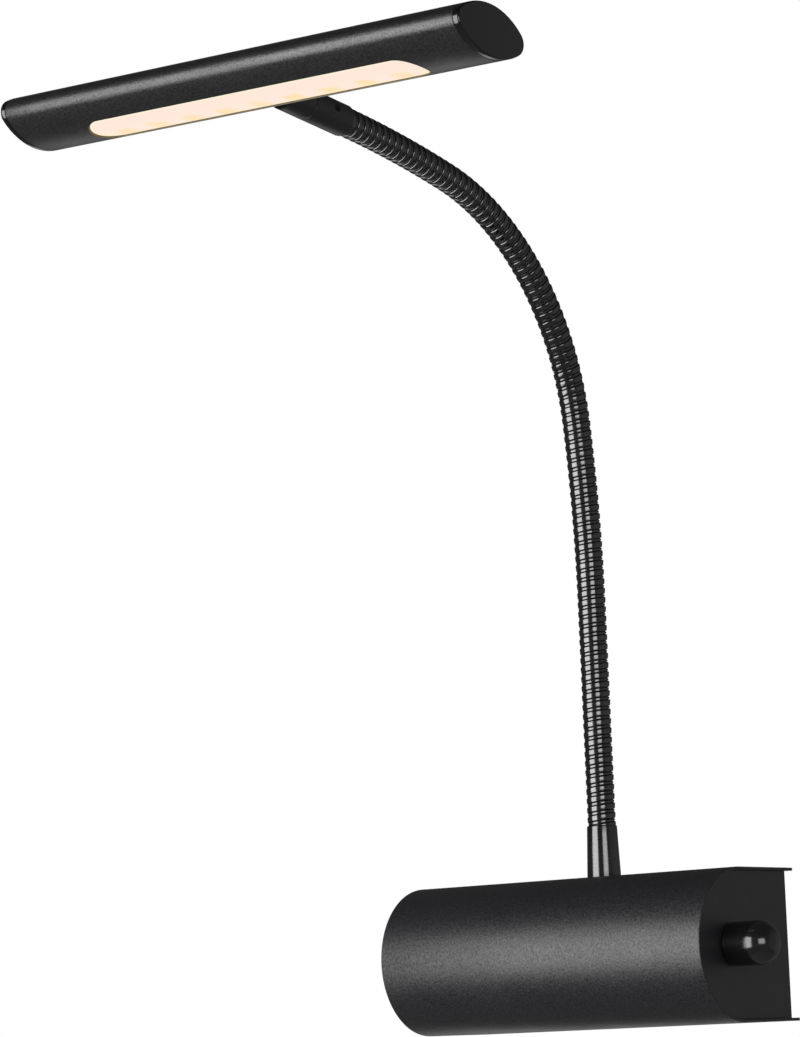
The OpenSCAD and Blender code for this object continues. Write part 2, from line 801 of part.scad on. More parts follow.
// Grub screw with a hexagon socket: its tip runs in the stub's groove and keeps the head on
module sleeve_grub_screw() {
  grub_top = sleeve_r - 0.45;
  socket_r = 0.85;
  socket_d = 1.2;
  color(zinc) at_neck(neck_l) on_grub() difference() {
    translate([0, 0, groove_r + running]) cylinder(r = grub_r, h = grub_top - groove_r - running);
    translate([0, 0, grub_top - socket_d]) cylinder(r = socket_r, h = socket_d + past, $fn = 6);
  }
}

// Stub of the head: a journal in the sleeve, a saddle on the tube's edge and a threaded shank in the tube
module head_stub() {
  seam = -oval_a - stub_l;
  color(black_coat) in_head() difference() {
    union() {
      difference() {
        translate([0, 0, seam + seat]) cylinder(r = sleeve_r, h = stub_l + saddle_wrap - seat);
        head_x(4 * sleeve_r) translate([edge_at, 0]) circle(edge_r + seat);
      }
      translate([0, 0, seam - journal_l]) cylinder(r = journal_r, h = journal_l + past);
      translate([0, 0, seam]) cylinder(r = shank_r, h = -seam - shank_end);
    }
    translate([0, 0, seam - sleeve_l + grub_at]) rotate_extrude()
      translate([groove_r, -groove_w / 2]) square([journal_r, groove_w]);
    translate([0, 0, seam - journal_l - past]) cylinder(r = cable_hole, h = -seam + journal_l + past);
  }
}

// Round nut that draws the stub against the tube
module stub_nut() {
  color(zinc) in_head() translate([0, 0, -stub_nut_at]) rotate_extrude()
    translate([shank_r + running, 0]) square([stub_nut_r - shank_r - running, stub_nut_t]);
}

// Extruded tube of the head, with two pairs of rails that hold the carrier strip
module head_tube() {
  color(black_coat) in_head() difference() {
    head_x(tube_l) {
      difference() {
        oval(0);
        oval(tube_t);
      }
      intersection() {
        oval(tube_t / 2);
        for (side = [-1, 1], low = [carrier_low - running - rail_t, carrier_top + running])
          translate([side * (rail_from + oval_a) / 2, low + rail_t / 2])
            square([oval_a - rail_from, rail_t], center = true);
      }
    }
    translate([window_shift, 0, 0]) rotate([90, 0, 0])
      linear_extrude(oval_b + past) stadium(window_l, window_w);
    translate([0, 0, -oval_a - past]) cylinder(r = shank_r + seat, h = oval_a + past - rail_from + past);
  }
}

// End cap: an oval face with a rim, and a plug that leaves room for the rails
module head_cap(side) {
  plug_inset = tube_t + seat;
  plug_wall = 1.5;
  rails_low = carrier_low - rail_t - 2 * seat;
  rails_high = carrier_top + rail_t + 2 * seat;
  color(black_gloss) in_head() {
    translate([side * (tube_l + cap_rim + seat) / 2, 0, 0]) head_x(cap_rim - seat) oval(0);
    translate([side * (tube_l - cap_plug + past) / 2, 0, 0]) head_x(cap_plug + past) difference() {
      oval(plug_inset);
      oval(plug_inset + plug_wall);
      for (edge = [-1, 1]) translate([edge * oval_a, (rails_low + rails_high) / 2])
        square([2 * (oval_a - rail_from) + 4 * seat, rails_high - rails_low], center = true);
    }
  }
}

module head_cap_left() { head_cap(-1); }
module head_cap_right() { head_cap(1); }

// Aluminium strip that carries the LED board and spreads its heat, notched round the stub's nut
module led_carrier() {
  notch = [2 * stub_nut_r + 2, carrier_t + past, carrier_half];
  color(zinc) in_head() difference() {
    translate([0, (carrier_low + carrier_top) / 2, 0])
      cube([tube_l - 2 * (cap_plug + carrier_end), carrier_t, 2 * carrier_half], center = true);
    translate([0, (carrier_low + carrier_top) / 2, seat - shank_end + screw_gap - notch.z / 2])
      cube(notch, center = true);
  }
}

module led_board() {
  color("white") in_head() translate([window_shift, carrier_low - board_t / 2 - running / 2, 0])
    cube([board_l, board_t - running, board_w], center = true);
}

// Row of LEDs under the board
module led_chips() {
  first = window_shift - led_pitch * (led_count - 1) / 2;
  color("#f2d56b") in_head() for (i = [0:led_count - 1])
    translate([first + led_pitch * i, board_low - led_size.y / 2 - running, 0]) cube(led_size, center = true);
}

// Push-in connector on the carrier, where the cable ends
module head_connector() {
  color(white_plastic) in_head() difference() {
    translate([0, carrier_top + connector_size.y / 2 + running, connector_size.z / 2 - connector_back])
      cube(connector_size, center = true);
    for (side = [-1, 1]) translate([side * connector_size.x / 4, 0, connector_size.z - connector_back])
      cylinder(r = lead_r, h = connector_size.z / 2, center = true);
  }
}

// Opal diffuser: a strip on the tube's floor, with a raised face that fills the light slot
module diffuser() {
  strip_l = window_l + 2 * diffuser_over;
  color("#fff1dd") in_head() translate([window_shift, 0, 0]) {
    head_x(strip_l) intersection() {
      oval(tube_t + seat);
      translate([-diffuser_side, -2 * oval_b]) square([2 * diffuser_side, 2 * oval_b + diffuser_top]);
    }
    intersection() {
      translate([0, diffuser_top - 0.5, 0]) rotate([90, 0, 0])
        linear_extrude(oval_b) stadium(window_l - 2 * seat, window_w - 2 * seat);
      translate([0, side_at, 0]) rotate([0, 90, 0])
        cylinder(r = side_r - window_recess, h = strip_l, center = true);
    }
  }
}

wall_bracket();
cable_grommet();
base_cover();
end_plate_left();
end_plate_right();
cover_screws();
led_driver();
terminal_block();
terminal_screws();
inner_screws();
earth_tag();
earth_screw();
mains_leads();
dimmer_leads();
dimmer_body();
dimmer_washer();
dimmer_nut();
dimmer_shaft();
dimmer_knob();
neck_nipple();
neck_washer();
neck_lock_nut();
neck_collar();
for (k = [0:sections - 1]) neck_section(k);
neck_cable();
head_sleeve();
sleeve_grub_screw();
head_stub();
stub_nut();
head_tube();
head_cap_left();
head_cap_right();
led_carrier();
led_board();
led_chips();
head_connector();
diffuser();
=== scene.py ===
import json
import math

import bmesh
import bpy
from mathutils import Matrix, Vector

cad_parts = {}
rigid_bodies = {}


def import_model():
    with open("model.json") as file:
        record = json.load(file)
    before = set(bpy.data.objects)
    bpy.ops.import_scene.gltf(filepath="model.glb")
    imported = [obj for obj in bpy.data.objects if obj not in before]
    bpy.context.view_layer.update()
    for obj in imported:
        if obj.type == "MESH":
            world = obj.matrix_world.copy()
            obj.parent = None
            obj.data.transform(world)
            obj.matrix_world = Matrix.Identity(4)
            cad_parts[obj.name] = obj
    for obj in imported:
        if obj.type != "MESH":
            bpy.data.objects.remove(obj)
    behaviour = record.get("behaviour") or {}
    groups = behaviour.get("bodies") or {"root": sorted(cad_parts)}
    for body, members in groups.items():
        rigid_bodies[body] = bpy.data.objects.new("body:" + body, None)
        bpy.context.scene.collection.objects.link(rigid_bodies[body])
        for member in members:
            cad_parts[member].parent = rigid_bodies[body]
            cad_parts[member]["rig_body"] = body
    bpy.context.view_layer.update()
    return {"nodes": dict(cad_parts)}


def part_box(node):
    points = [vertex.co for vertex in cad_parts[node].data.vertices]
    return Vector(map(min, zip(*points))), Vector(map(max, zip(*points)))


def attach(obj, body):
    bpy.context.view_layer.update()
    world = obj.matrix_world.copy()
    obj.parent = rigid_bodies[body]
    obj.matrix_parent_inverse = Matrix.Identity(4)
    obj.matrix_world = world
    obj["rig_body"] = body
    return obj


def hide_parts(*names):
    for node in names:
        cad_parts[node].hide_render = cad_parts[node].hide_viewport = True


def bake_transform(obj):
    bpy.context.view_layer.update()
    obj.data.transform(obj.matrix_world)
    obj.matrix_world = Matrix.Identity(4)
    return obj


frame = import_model()

# Wall bracket: one folded sheet of zinc-plated steel, with two slots for wall screws and four lugs
# that reach into the cover. It goes on the wall first, and the rest of the lamp hangs on it.
MM = 0.001
SMOOTH_ANGLE = math.radians(38)


def node(tree, kind, values=None, **settings):
    """Adds a node, sets or links its inputs, and gives back its outputs."""
    made = tree.nodes.new(kind)
    for name, value in settings.items():
        setattr(made, name, value)
    for name, value in (values or {}).items():
        if isinstance(value, bpy.types.NodeSocket):
            tree.links.new(value, made.inputs[name])
        else:
            made.inputs[name].default_value = value
    return made.outputs


def spots(tree, size, detail=2.0):
    """Noise on the piece's own place, with spots of about that size."""
    place = node(tree, "ShaderNodeTexCoord")["Object"]
    return node(tree, "ShaderNodeTexNoise", {"Vector": place, "Scale": 1 / size, "Detail": detail})["Fac"]


def ranged(tree, factor, low, high):
    """A number that runs from low to high over the middle of the noise."""
    limits = {"Value": factor, "From Min": 0.3, "From Max": 0.7, "To Min": low, "To Max": high}
    return node(tree, "ShaderNodeMapRange", limits)["Result"]


def tinted(tree, factor, dark, light):
    """A colour between two, by the factor. Sockets 6 and 7 are the mix node's two colours."""
    return node(tree, "ShaderNodeMix", {0: factor, 6: (*dark, 1), 7: (*light, 1)}, data_type="RGBA")[2]


def new_finish(name):
    """A new material, its node tree and its shader's inputs."""
    material = bpy.data.materials.new(name)
    material.use_nodes = True
    return material, material.node_tree, material.node_tree.nodes["Principled BSDF"].inputs


def finish(name, dark, light, spot, gloss, relief, metal=0.0, ior=1.5, gloss_spread=6):
    """Colour and relief follow a noise with spots of one size, the roughness a noise with wider spots."""
    material, tree, shader = new_finish(name)
    grain = spots(tree, spot)
    tree.links.new(tinted(tree, ranged(tree, grain, 0, 1), dark, light), shader["Base Color"])
    tree.links.new(ranged(tree, spots(tree, gloss_spread * spot), *gloss), shader["Roughness"])
    bump = node(tree, "ShaderNodeBump", {"Height": grain, "Distance": relief})["Normal"]
    tree.links.new(bump, shader["Normal"])
    shader["Metallic"].default_value = metal
    shader["IOR"].default_value = ior
    return material


def placed(name, data):
    """Puts a mesh, a curve, a lamp or a camera in the scene."""
    made = bpy.data.objects.new(name, data)
    bpy.context.scene.collection.objects.link(made)
    return made


def as_mesh(name, shape):
    """Turns a built shape into a mesh."""
    mesh = bpy.data.meshes.new(name)
    shape.to_mesh(mesh)
    shape.free()
    return mesh


def shown(name, mesh, material, smooth_angle=SMOOTH_ANGLE):
    """Puts a mesh in the scene as a piece, smooth but for its real edges."""
    mesh.shade_smooth()
    mesh.set_sharp_from_angle(angle=smooth_angle)
    if material and not mesh.materials:
        mesh.materials.append(material)
    return placed(name, mesh)


def plain_mesh(piece):
    """The piece's mesh with its modifiers worked in."""
    bpy.context.view_layer.update()
    return bpy.data.meshes.new_from_object(piece.evaluated_get(bpy.context.evaluated_depsgraph_get()))


def fit(piece, slot, *nodes):
    """The piece rides where its CAD nodes ride, and stands for them."""
    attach(piece, frame["nodes"][nodes[0]]["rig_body"])
    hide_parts(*nodes)
    return piece


def softened(name, material, slot, edge):
    """A CAD node's own shape with its sharp edges broken, as they are on the real piece."""
    merge_gap = 0.001 * MM
    flat_angle, edge_angle, smooth_angle = math.radians(1), math.radians(45), math.radians(18)
    shape = bmesh.new()
    shape.from_mesh(frame["nodes"][name].data)
    bmesh.ops.remove_doubles(shape, verts=shape.verts, dist=merge_gap)
    bmesh.ops.dissolve_limit(shape, angle_limit=flat_angle, verts=shape.verts, edges=shape.edges)
    sharp = placed(name + "_sharp", as_mesh(name + "_edges", shape))
    bevel = sharp.modifiers.new("edges", "BEVEL")
    bevel.width = edge
    bevel.segments = 2
    bevel.limit_method = "ANGLE"
    bevel.angle_limit = edge_angle
    soft_mesh = plain_mesh(sharp)
    bpy.data.objects.remove(sharp)
    return fit(shown(name + "_piece", soft_mesh, material, smooth_angle), slot, name)


zinc_sheet = finish(
    "zinc_sheet", dark=(0.44, 0.45, 0.48), light=(0.62, 0.63, 0.65),
    spot=5 * MM, gloss=(0.28, 0.45), relief=0.004 * MM, metal=1.0,
)
softened("wall_bracket", zinc_sheet, "zinc_steel", edge=0.3 * MM)

# Grommet: a soft black rubber ring in the bracket's hole, which keeps the mains cable off the sheet's
# edge. It is moulded, and pressed in by hand.
rubber = finish(
    "grommet_rubber", dark=(0.012, 0.012, 0.012), light=(0.022, 0.021, 0.020),
    spot=0.8 * MM, gloss=(0.6, 0.75), relief=0.01 * MM,
)
softened("cable_grommet", rubber, "black_rubber", edge=0.5 * MM)

# Driver: a moulded white case with two ears, screwed to the bracket. The terminal block beside it is
# of the same white plastic, and its brass screws clamp the wires.
white_plastic = finish(
    "case_plastic", dark=(0.70, 0.69, 0.65), light=(0.76, 0.75, 0.71),
    spot=0.6 * MM, gloss=(0.4, 0.52), relief=0.006 * MM,
)
brass = finish(
    "bare_brass", dark=(0.60, 0.42, 0.17), light=(0.72, 0.53, 0.25),
    spot=1.2 * MM, gloss=(0.22, 0.38), relief=0.003 * MM, metal=1.0,
)
softened("led_driver", white_plastic, "white_plastic", edge=0.6 * MM)
softened("terminal_block", white_plastic, "white_plastic", edge=0.3 * MM)
softened("terminal_screws", brass, "brass", edge=0.15 * MM)

# Small steel screws hold the driver's ears and the terminal block. The earth screw next to them clamps
# a brass ring tag for the earth wire.
zinc_screw = finish(
    "zinc_screw", dark=(0.46, 0.46, 0.45), light=(0.62, 0.62, 0.60),
    spot=0.7 * MM, gloss=(0.2, 0.36), relief=0.004 * MM, metal=1.0,
)
softened("inner_screws", zinc_screw, "zinc_steel", edge=0.25 * MM)
softened("earth_tag", brass, "brass", edge=0.1 * MM)
softened("earth_screw", zinc_screw, "zinc_steel", edge=0.25 * MM)

# Leads: single wires in coloured sheaths. Live and neutral rise from the terminal block to the driver,
# and two thin ones run on from the driver's front to the dimmer.
lead_r = 1.0 * MM
bend_steps = 10

path_tree = bpy.data.node_groups.new("sheath_on_path", "GeometryNodeTree")
path_tree.interface.new_socket("Path", in_out="INPUT", socket_type="NodeSocketGeometry")
path_radius = path_tree.interface.new_socket("Radius", in_out="INPUT", socket_type="NodeSocketFloat")
path_finish = path_tree.interface.new_socket("Sheath", in_out="INPUT", socket_type="NodeSocketMaterial")
path_tree.interface.new_socket("Lead", in_out="OUTPUT", socket_type="NodeSocketGeometry")
path_in = node(path_tree, "NodeGroupInput")
round_line = node(
    path_tree, "GeometryNodeCurvePrimitiveCircle", {"Resolution": 20, "Radius": path_in["Radius"]}
)
sheath = node(
    path_tree, "GeometryNodeCurveToMesh",
    {"Curve": path_in["Path"], "Profile Curve": round_line["Curve"], "Fill Caps": True},
)
real_sheath = node(path_tree, "GeometryNodeRealizeInstances", {0: sheath["Mesh"]})
clad_sheath = node(
    path_tree, "GeometryNodeSetMaterial", {"Geometry": real_sheath[0], "Material": path_in["Sheath"]}
)
node(path_tree, "NodeGroupOutput", {0: clad_sheath[0]})


def path_curve(name, points):
    """A curve of straight steps through the points."""
    curve = bpy.data.curves.new(name, "CURVE")
    curve.dimensions = "3D"
    line = curve.splines.new("POLY")
    line.points.add(len(points) - 1)
    for place, point in zip(line.points, points):
        place.co = (*point, 1)
    return placed(name, curve)


def outward(mesh):
    """Merges a closed mesh's doubles and turns its faces outwards."""
    merge_gap = 0.0005 * MM
    shape = bmesh.new()
    shape.from_mesh(mesh)
    bmesh.ops.remove_doubles(shape, verts=shape.verts, dist=merge_gap)
    bmesh.ops.recalc_face_normals(shape, faces=shape.faces)
    shape.to_mesh(mesh)
    shape.free()
    return mesh


def sheathed(name, points, radius, material):
    """A round lead that follows the points."""
    line = path_curve(name + "_path", points)
    wrap = line.modifiers.new("sheath", "NODES")
    wrap.node_group = path_tree
    wrap[path_radius.identifier] = radius
    wrap[path_finish.identifier] = material
    mesh = outward(plain_mesh(line))
    bpy.data.objects.remove(line)
    return shown(name, mesh, material)


def bend_points(centre, start, end, radius):
    """A quarter bend about a centre, from one direction to another."""
    angles = [math.pi / 2 * step / bend_steps for step in range(bend_steps + 1)]
    return [centre + radius * (math.cos(a) * start + math.sin(a) * end) for a in angles]


X, Y, Z = Vector((1, 0, 0)), Vector((0, 1, 0)), Vector((0, 0, 1))
lead_low, lead_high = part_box("mains_leads")
mains_bend = 5 * MM
pole_gap = 11 * MM
level_gap = 3 * MM
live = finish(
    "live_sheath", dark=(0.10, 0.035, 0.015), light=(0.14, 0.05, 0.022),
    spot=0.9 * MM, gloss=(0.35, 0.5), relief=0.004 * MM,
)
neutral = finish(
    "neutral_sheath", dark=(0.012, 0.05, 0.16), light=(0.018, 0.07, 0.21),
    spot=0.9 * MM, gloss=(0.35, 0.5), relief=0.004 * MM,
)
for wire, (name, sheath_finish) in enumerate((("neutral_lead", neutral), ("live_lead", live))):
    # The outer wire stands one pole further out and one level higher
    x = lead_high.x - lead_r - pole_gap * (1 - wire)
    y = (lead_low.y + lead_high.y) / 2
    z = lead_high.z - lead_r - level_gap * (1 - wire)
    turn = bend_points(Vector((x - mains_bend, y, z - mains_bend)), X, Z, mains_bend)
    route = [Vector((x, y, lead_low.z)), *turn, Vector((lead_low.x, y, z))]
    fit(sheathed(name, route, lead_r, sheath_finish), "lead_sheath", "mains_leads")

dimmer_low, dimmer_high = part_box("dimmer_leads")
dimmer_bend = 6 * MM
signal = finish(
    "signal_sheath", dark=(0.42, 0.42, 0.41), light=(0.52, 0.52, 0.50),
    spot=0.9 * MM, gloss=(0.4, 0.55), relief=0.004 * MM,
)
for name, z in (("dimmer_lead_low", dimmer_low.z + lead_r), ("dimmer_lead_high", dimmer_high.z - lead_r)):
    x = dimmer_low.x + lead_r
    y = dimmer_low.y + lead_r
    turn = bend_points(Vector((x + dimmer_bend, y + dimmer_bend, z)), -X, -Y, dimmer_bend)
    route = [Vector((x, dimmer_high.y, z)), *turn, Vector((dimmer_high.x, y, z))]
    fit(sheathed(name, route, lead_r, signal), "lead_sheath", "dimmer_leads")

# Base cover: one sheet of steel bent to a half-round front, open to the wall, with a fine-grained
# satin black powder coat. Two screws from below hold it to the bracket's lugs.
cover_low, cover_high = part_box("base_cover")
half_h = cover_high.z
half_l = cover_high.x
flat_d = -cover_low.y - half_h
sheet_t = 1.2 * MM
sheet_edge = 0.4 * MM
front_steps = 72


def sum_of(tree, kind, first, second=0.0):
    """One step of arithmetic in a tree."""
    return node(tree, "ShaderNodeMath", {0: first, 1: second}, operation=kind)["Value"]


def powder_coat(name, grain, depth, level, glint, gloss=(0.41, 0.46), ior=1.72, gloss_spread=40):
    """Satin black powder coat: a fine pebbled skin, whose pebbles glint one by one."""
    pebble_gloss = 0.05
    material, tree, shader = new_finish(name)
    fine = spots(tree, grain, detail=3.0)
    broad = spots(tree, gloss_spread * grain)
    # A cold black, with a little more blue than red and green
    dark = [level * share for share in (0.86, 0.87, 1.07)]
    light = [level * share for share in (1.10, 1.12, 1.37)]
    tree.links.new(tinted(tree, ranged(tree, fine, 0, 1), dark, light), shader["Base Color"])
    pebbles = ranged(tree, fine, -pebble_gloss, pebble_gloss)
    tree.links.new(sum_of(tree, "ADD", pebbles, ranged(tree, broad, *gloss)), shader["Roughness"])
    bump = node(tree, "ShaderNodeBump", {"Height": fine, "Distance": depth, "Strength": 0.8})["Normal"]
    tree.links.new(bump, shader["Normal"])
    tree.links.new(ranged(tree, fine, 0.5 - glint, 0.5 + glint), shader["Specular IOR Level"])
    shader["IOR"].default_value = ior
    return material


def rounded_end(radius, steps=4):
    """Pairs of setback from a piece's end and inset of its outline, round the edge there."""
    angles = [math.pi / 2 * step / steps for step in range(steps + 1)]
    return [(radius * (1 - math.cos(a)), radius * (1 - math.sin(a))) for a in angles]


def sheet_ring(inset):
    """The bent sheet's own outline in Y and Z, drawn in by inset: its outer face, then its inner one."""
    angles = [math.pi / 2 + math.pi * step / front_steps for step in range(front_steps + 1)]
    faces = []
    for radius in (half_h - inset, half_h - sheet_t + inset):
        bend = [(-flat_d + radius * math.cos(a), radius * math.sin(a)) for a in angles]
        faces.append([(-inset, radius), *bend, (-inset, -radius)])
    return faces[0] + faces[1][::-1]


def skinned(name, rings, material, ends="face"):
    """A piece skinned over closed rings of points. Its ends are faces, a bent sheet's rim, or open."""
    shape = bmesh.new()
    rows = [[shape.verts.new(point) for point in ring] for ring in rings]
    count = len(rows[0])
    for row, after in zip(rows, rows[1:]):
        for i in range(count):
            k = (i + 1) % count
            shape.faces.new((row[i], row[k], after[k], after[i]))
    for row in (rows[0], rows[-1]):
        if ends == "face":
            shape.faces.new(row)
        elif ends == "rim":
            for i in range(count // 2 - 1):
                shape.faces.new((row[i], row[i + 1], row[count - 2 - i], row[count - 1 - i]))
    return shown(name, outward(as_mesh(name, shape)), material)


def drilled(piece, holes):
    """Drills holes, each given by its centre, its direction, the radii at its two ends and its depth."""
    shape = bmesh.new()
    for centre, direction, near_r, far_r, depth in holes:
        turn = direction.to_track_quat("Z", "Y").to_matrix().to_4x4()
        bmesh.ops.create_cone(
            shape, cap_ends=True, segments=64, radius1=near_r, radius2=far_r, depth=depth,
            matrix=Matrix.Translation(centre) @ turn,
        )
    drill = placed("drill", as_mesh("drill", shape))
    cut = piece.modifiers.new("holes", "BOOLEAN")
    cut.object = drill
    cut.solver = "EXACT"
    piece.data = plain_mesh(piece)
    piece.modifiers.clear()
    bpy.data.objects.remove(drill)
    piece.data.shade_smooth()
    piece.data.set_sharp_from_angle(angle=SMOOTH_ANGLE)
    return piece


black_coat = powder_coat("black_coat", grain=0.7 * MM, depth=0.09 * MM, level=0.011, glint=0.24)
cover_rings = []
for setback, inset in rounded_end(sheet_edge):
    cover_rings.append([(setback - half_l, y, z) for y, z in sheet_ring(inset)])
for setback, inset in rounded_end(sheet_edge)[::-1]:
    cover_rings.append([(half_l - setback, y, z) for y, z in sheet_ring(inset)])
base_cover = skinned("base_cover_piece", cover_rings, black_coat, ends="rim")
nipple_hole_r, nipple_hole_l, screw_hole_r = 4.2 * MM, 6 * sheet_t, 1.6 * MM
screw_low, screw_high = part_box("cover_screws")
screw_head_r = (screw_high.y - screw_low.y) / 2
screw_y = (screw_low.y + screw_high.y) / 2
neck_y = -flat_d / 2
cover_holes = [(Vector((0, neck_y, half_h)), Z, nipple_hole_r, nipple_hole_r, nipple_hole_l)]
for x in (screw_low.x + screw_head_r, screw_high.x - screw_head_r):
    # A countersink at 45 degrees, from one sheet below the cover to one sheet above its inner face
    sink = Vector((x, screw_y, -half_h + sheet_t / 2))
    cover_holes.append((sink, Z, screw_hole_r + 2 * sheet_t, screw_hole_r - sheet_t, 3 * sheet_t))
fit(drilled(base_cover, cover_holes), "black_coat", "base_cover")
softened("cover_screws", black_coat, "black_coat", edge=0.1 * MM)

# End plates: flat sheets of the same coated steel, set a little into the cover's ends and joined to it
# by tabs inside. The right one carries the dimmer.
plate_coat = powder_coat("plate_coat", grain=0.7 * MM, depth=0.02 * MM, level=0.012, glint=0.08)
plate_seam = 0.12 * MM
for name in ("end_plate_left", "end_plate_right"):
    plate = softened(name, plate_coat, "black_coat", edge=0.15 * MM)
    # The coat fills the fine seam between the plate and the cover
    for vert in plate.data.vertices:
        middle = Vector((vert.co.x, max(vert.co.y, -flat_d), 0))
        spoke = vert.co - middle
        if spoke.length > half_h - 2 * sheet_t:
            vert.co += spoke.normalized() * plate_seam

# Dimmer: a grey moulded case with a threaded bush, held in the right end plate by a washer and a nut.
# Its steel shaft carries the knob.
grey_plastic = finish(
    "dimmer_case", dark=(0.11, 0.115, 0.125), light=(0.15, 0.155, 0.165),
    spot=0.7 * MM, gloss=(0.4, 0.55), relief=0.006 * MM,
)
softened("dimmer_body", grey_plastic, "grey_plastic", edge=0.3 * MM)
softened("dimmer_washer", zinc_screw, "zinc_steel", edge=0.1 * MM)
softened("dimmer_nut", zinc_screw, "zinc_steel", edge=0.2 * MM)
softened("dimmer_shaft", zinc_screw, "zinc_steel", edge=0.2 * MM)

# Knob: turned, with a domed end, a hollow back over the dimmer's nut and a smooth black lacquer. It is
# pushed on the shaft, a fingernail's gap from the end plate.
knob_low, knob_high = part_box("dimmer_knob")
knob_r = (knob_high.z - knob_low.z) / 2
knob_l = knob_high.x - knob_low.x
knob_edge = 0.5 * MM
knob_hollow_r, knob_hollow_d, hollow_edge = 7.1 * MM, 5.0 * MM, 0.2 * MM
dome_steps = 24


def filleted(corners, steps=5):
    """An open outline through corners given as (across, along, radius), each rounded by its radius."""
    points = []
    for i, (across, along, radius) in enumerate(corners):
        here = Vector((across, along))
        if radius == 0:
            points.append((across, along))
            continue
        before = (Vector(corners[i - 1][:2]) - here).normalized()
        after = (Vector(corners[i + 1][:2]) - here).normalized()
        half = before.angle(after) / 2
        centre = here + (before + after).normalized() * radius / math.sin(half)
        start = here + before * radius / math.tan(half) - centre
        end = here + after * radius / math.tan(half) - centre
        turn = -start.angle_signed(end)
        for step in range(steps + 1):
            spoke = start.copy()
            spoke.rotate(Matrix.Rotation(turn * step / steps, 2))
            points.append(tuple(centre + spoke))
    return points


def turned(name, profile, place, material, steps=96):
    """A turned piece: its profile goes from axis to axis, or else closes on itself round a bore."""
    shape = bmesh.new()
    rings = []
    for radius, along in profile:
        angles = [2 * math.pi * i / steps for i in range(steps if radius > 0 else 1)]
        round_points = [Vector((radius * math.cos(a), radius * math.sin(a), along)) for a in angles]
        rings.append([shape.verts.new(place @ point) for point in round_points])
    if profile[0][0] > 0:
        rings.append(rings[0])
    for ring, after in zip(rings, rings[1:]):
        for i in range(steps):
            k = i + 1
            corners = (ring[i % len(ring)], ring[k % len(ring)], after[k % len(after)], after[i % len(after)])
            shape.faces.new(dict.fromkeys(corners))
    return shown(name, outward(as_mesh(name, shape)), material)


knob_middle = (knob_low + knob_high) / 2
knob_place = Matrix.Translation((knob_low.x, knob_middle.y, knob_middle.z))
knob_place @= Matrix.Rotation(math.pi / 2, 4, "Y")
dome_angles = [math.pi / 2 * step / dome_steps for step in range(dome_steps)]
knob_dome = [(knob_r * math.cos(a), knob_l - knob_r + knob_r * math.sin(a)) for a in dome_angles]
knob_profile = filleted([
    (0, knob_hollow_d, 0),
    (knob_hollow_r, knob_hollow_d, 0),
    (knob_hollow_r, 0, hollow_edge),
    (knob_r, 0, knob_edge),
    (*knob_dome[0], 0),
])
knob_profile += [*knob_dome[1:], (0, knob_l)]
knob_black = finish(
    "knob_lacquer", dark=(0.006, 0.006, 0.006), light=(0.009, 0.009, 0.009),
    spot=0.5 * MM, gloss=(0.13, 0.18), relief=0.001 * MM, ior=1.8,
)
fit(turned("dimmer_knob_piece", knob_profile, knob_place, knob_black), "black_plastic", "dimmer_knob")

# Collar: a tapered turned piece in black chrome on the cover's top. A threaded brass nipple, a washer
# and a lock nut draw it down from inside the base.
collar_low, collar_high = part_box("neck_collar")
collar_r = (collar_high.x - collar_low.x) / 2
collar_h = collar_high.z - collar_low.z
stem_r = 3.55 * MM
collar_top_r = 6.05 * MM
collar_foot_edge, collar_top_edge = 0.25 * MM, 0.5 * MM
collar_place = Matrix.Translation((0, neck_y, collar_low.z))


def black_chrome(name, colour, gloss):
    """Dark plated metal, with faint wipe marks in its gloss."""
    dark = [0.9 * c for c in colour]
    return finish(name, dark, colour, spot=1.5 * MM, gloss=gloss, relief=0.0008 * MM, metal=1.0)


chrome = black_chrome("black_chrome", (0.132, 0.132, 0.132), (0.13, 0.19))
collar_profile = filleted([
    (stem_r, 0, 0),
    (collar_r, 0, collar_foot_edge),
    (collar_top_r, collar_h, collar_top_edge),
    (stem_r, collar_h, 0),
])
fit(turned("neck_collar_piece", collar_profile, collar_place, chrome), "black_neck", "neck_collar")
softened("neck_nipple", brass, "brass", edge=0.2 * MM)
softened("neck_washer", zinc_screw, "zinc_steel", edge=0.2 * MM)
softened("neck_lock_nut", brass, "brass", edge=0.3 * MM)

# Gooseneck: two wires wound together into a tube that bends and stays bent, a flat band with rounded
# edges and a thin, nearly square wire in the groove between its turns, both in black chrome.
neck_runs = ((90 * MM, 0), (74 * MM, 7.5), (129 * MM, 68), (65 * MM, 6.5))
neck_l = sum(run for run, turn in neck_runs)
neck_hinges = 9
neck_r = 5.7 * MM
coil_pitch = 3.8 * MM
band_w, band_t, band_edge = 2.6 * MM, 1.2 * MM, 0.58 * MM
wire_w, wire_t, wire_edge, wire_drop = 0.78 * MM, 0.9 * MM, 0.07 * MM, 0.3 * MM
band_tilt = math.radians(5)
core_r = 5.05 * MM
turn_steps = 32


def neck_frame(s):
    """The neck's place and heading at a distance along it: local Z runs along the neck."""
    forward, rise, heading = 0.0, 0.0, 0.0
    for run, turn in (*neck_runs, (math.inf, 0)):
        here = min(s, run)
        swing = math.radians(turn) * here / run if turn else 0.0
        if swing:
            radius = run / math.radians(turn)
            forward += radius * (math.cos(heading) - math.cos(heading + swing))
            rise += radius * (math.sin(heading + swing) - math.sin(heading))
        else:
            forward += here * math.sin(heading)
            rise += here * math.cos(heading)
        heading += swing
        s -= here
    place = Matrix.Translation((0, neck_y - forward, collar_high.z + rise))
    return place @ Matrix.Rotation(heading, 4, "X")


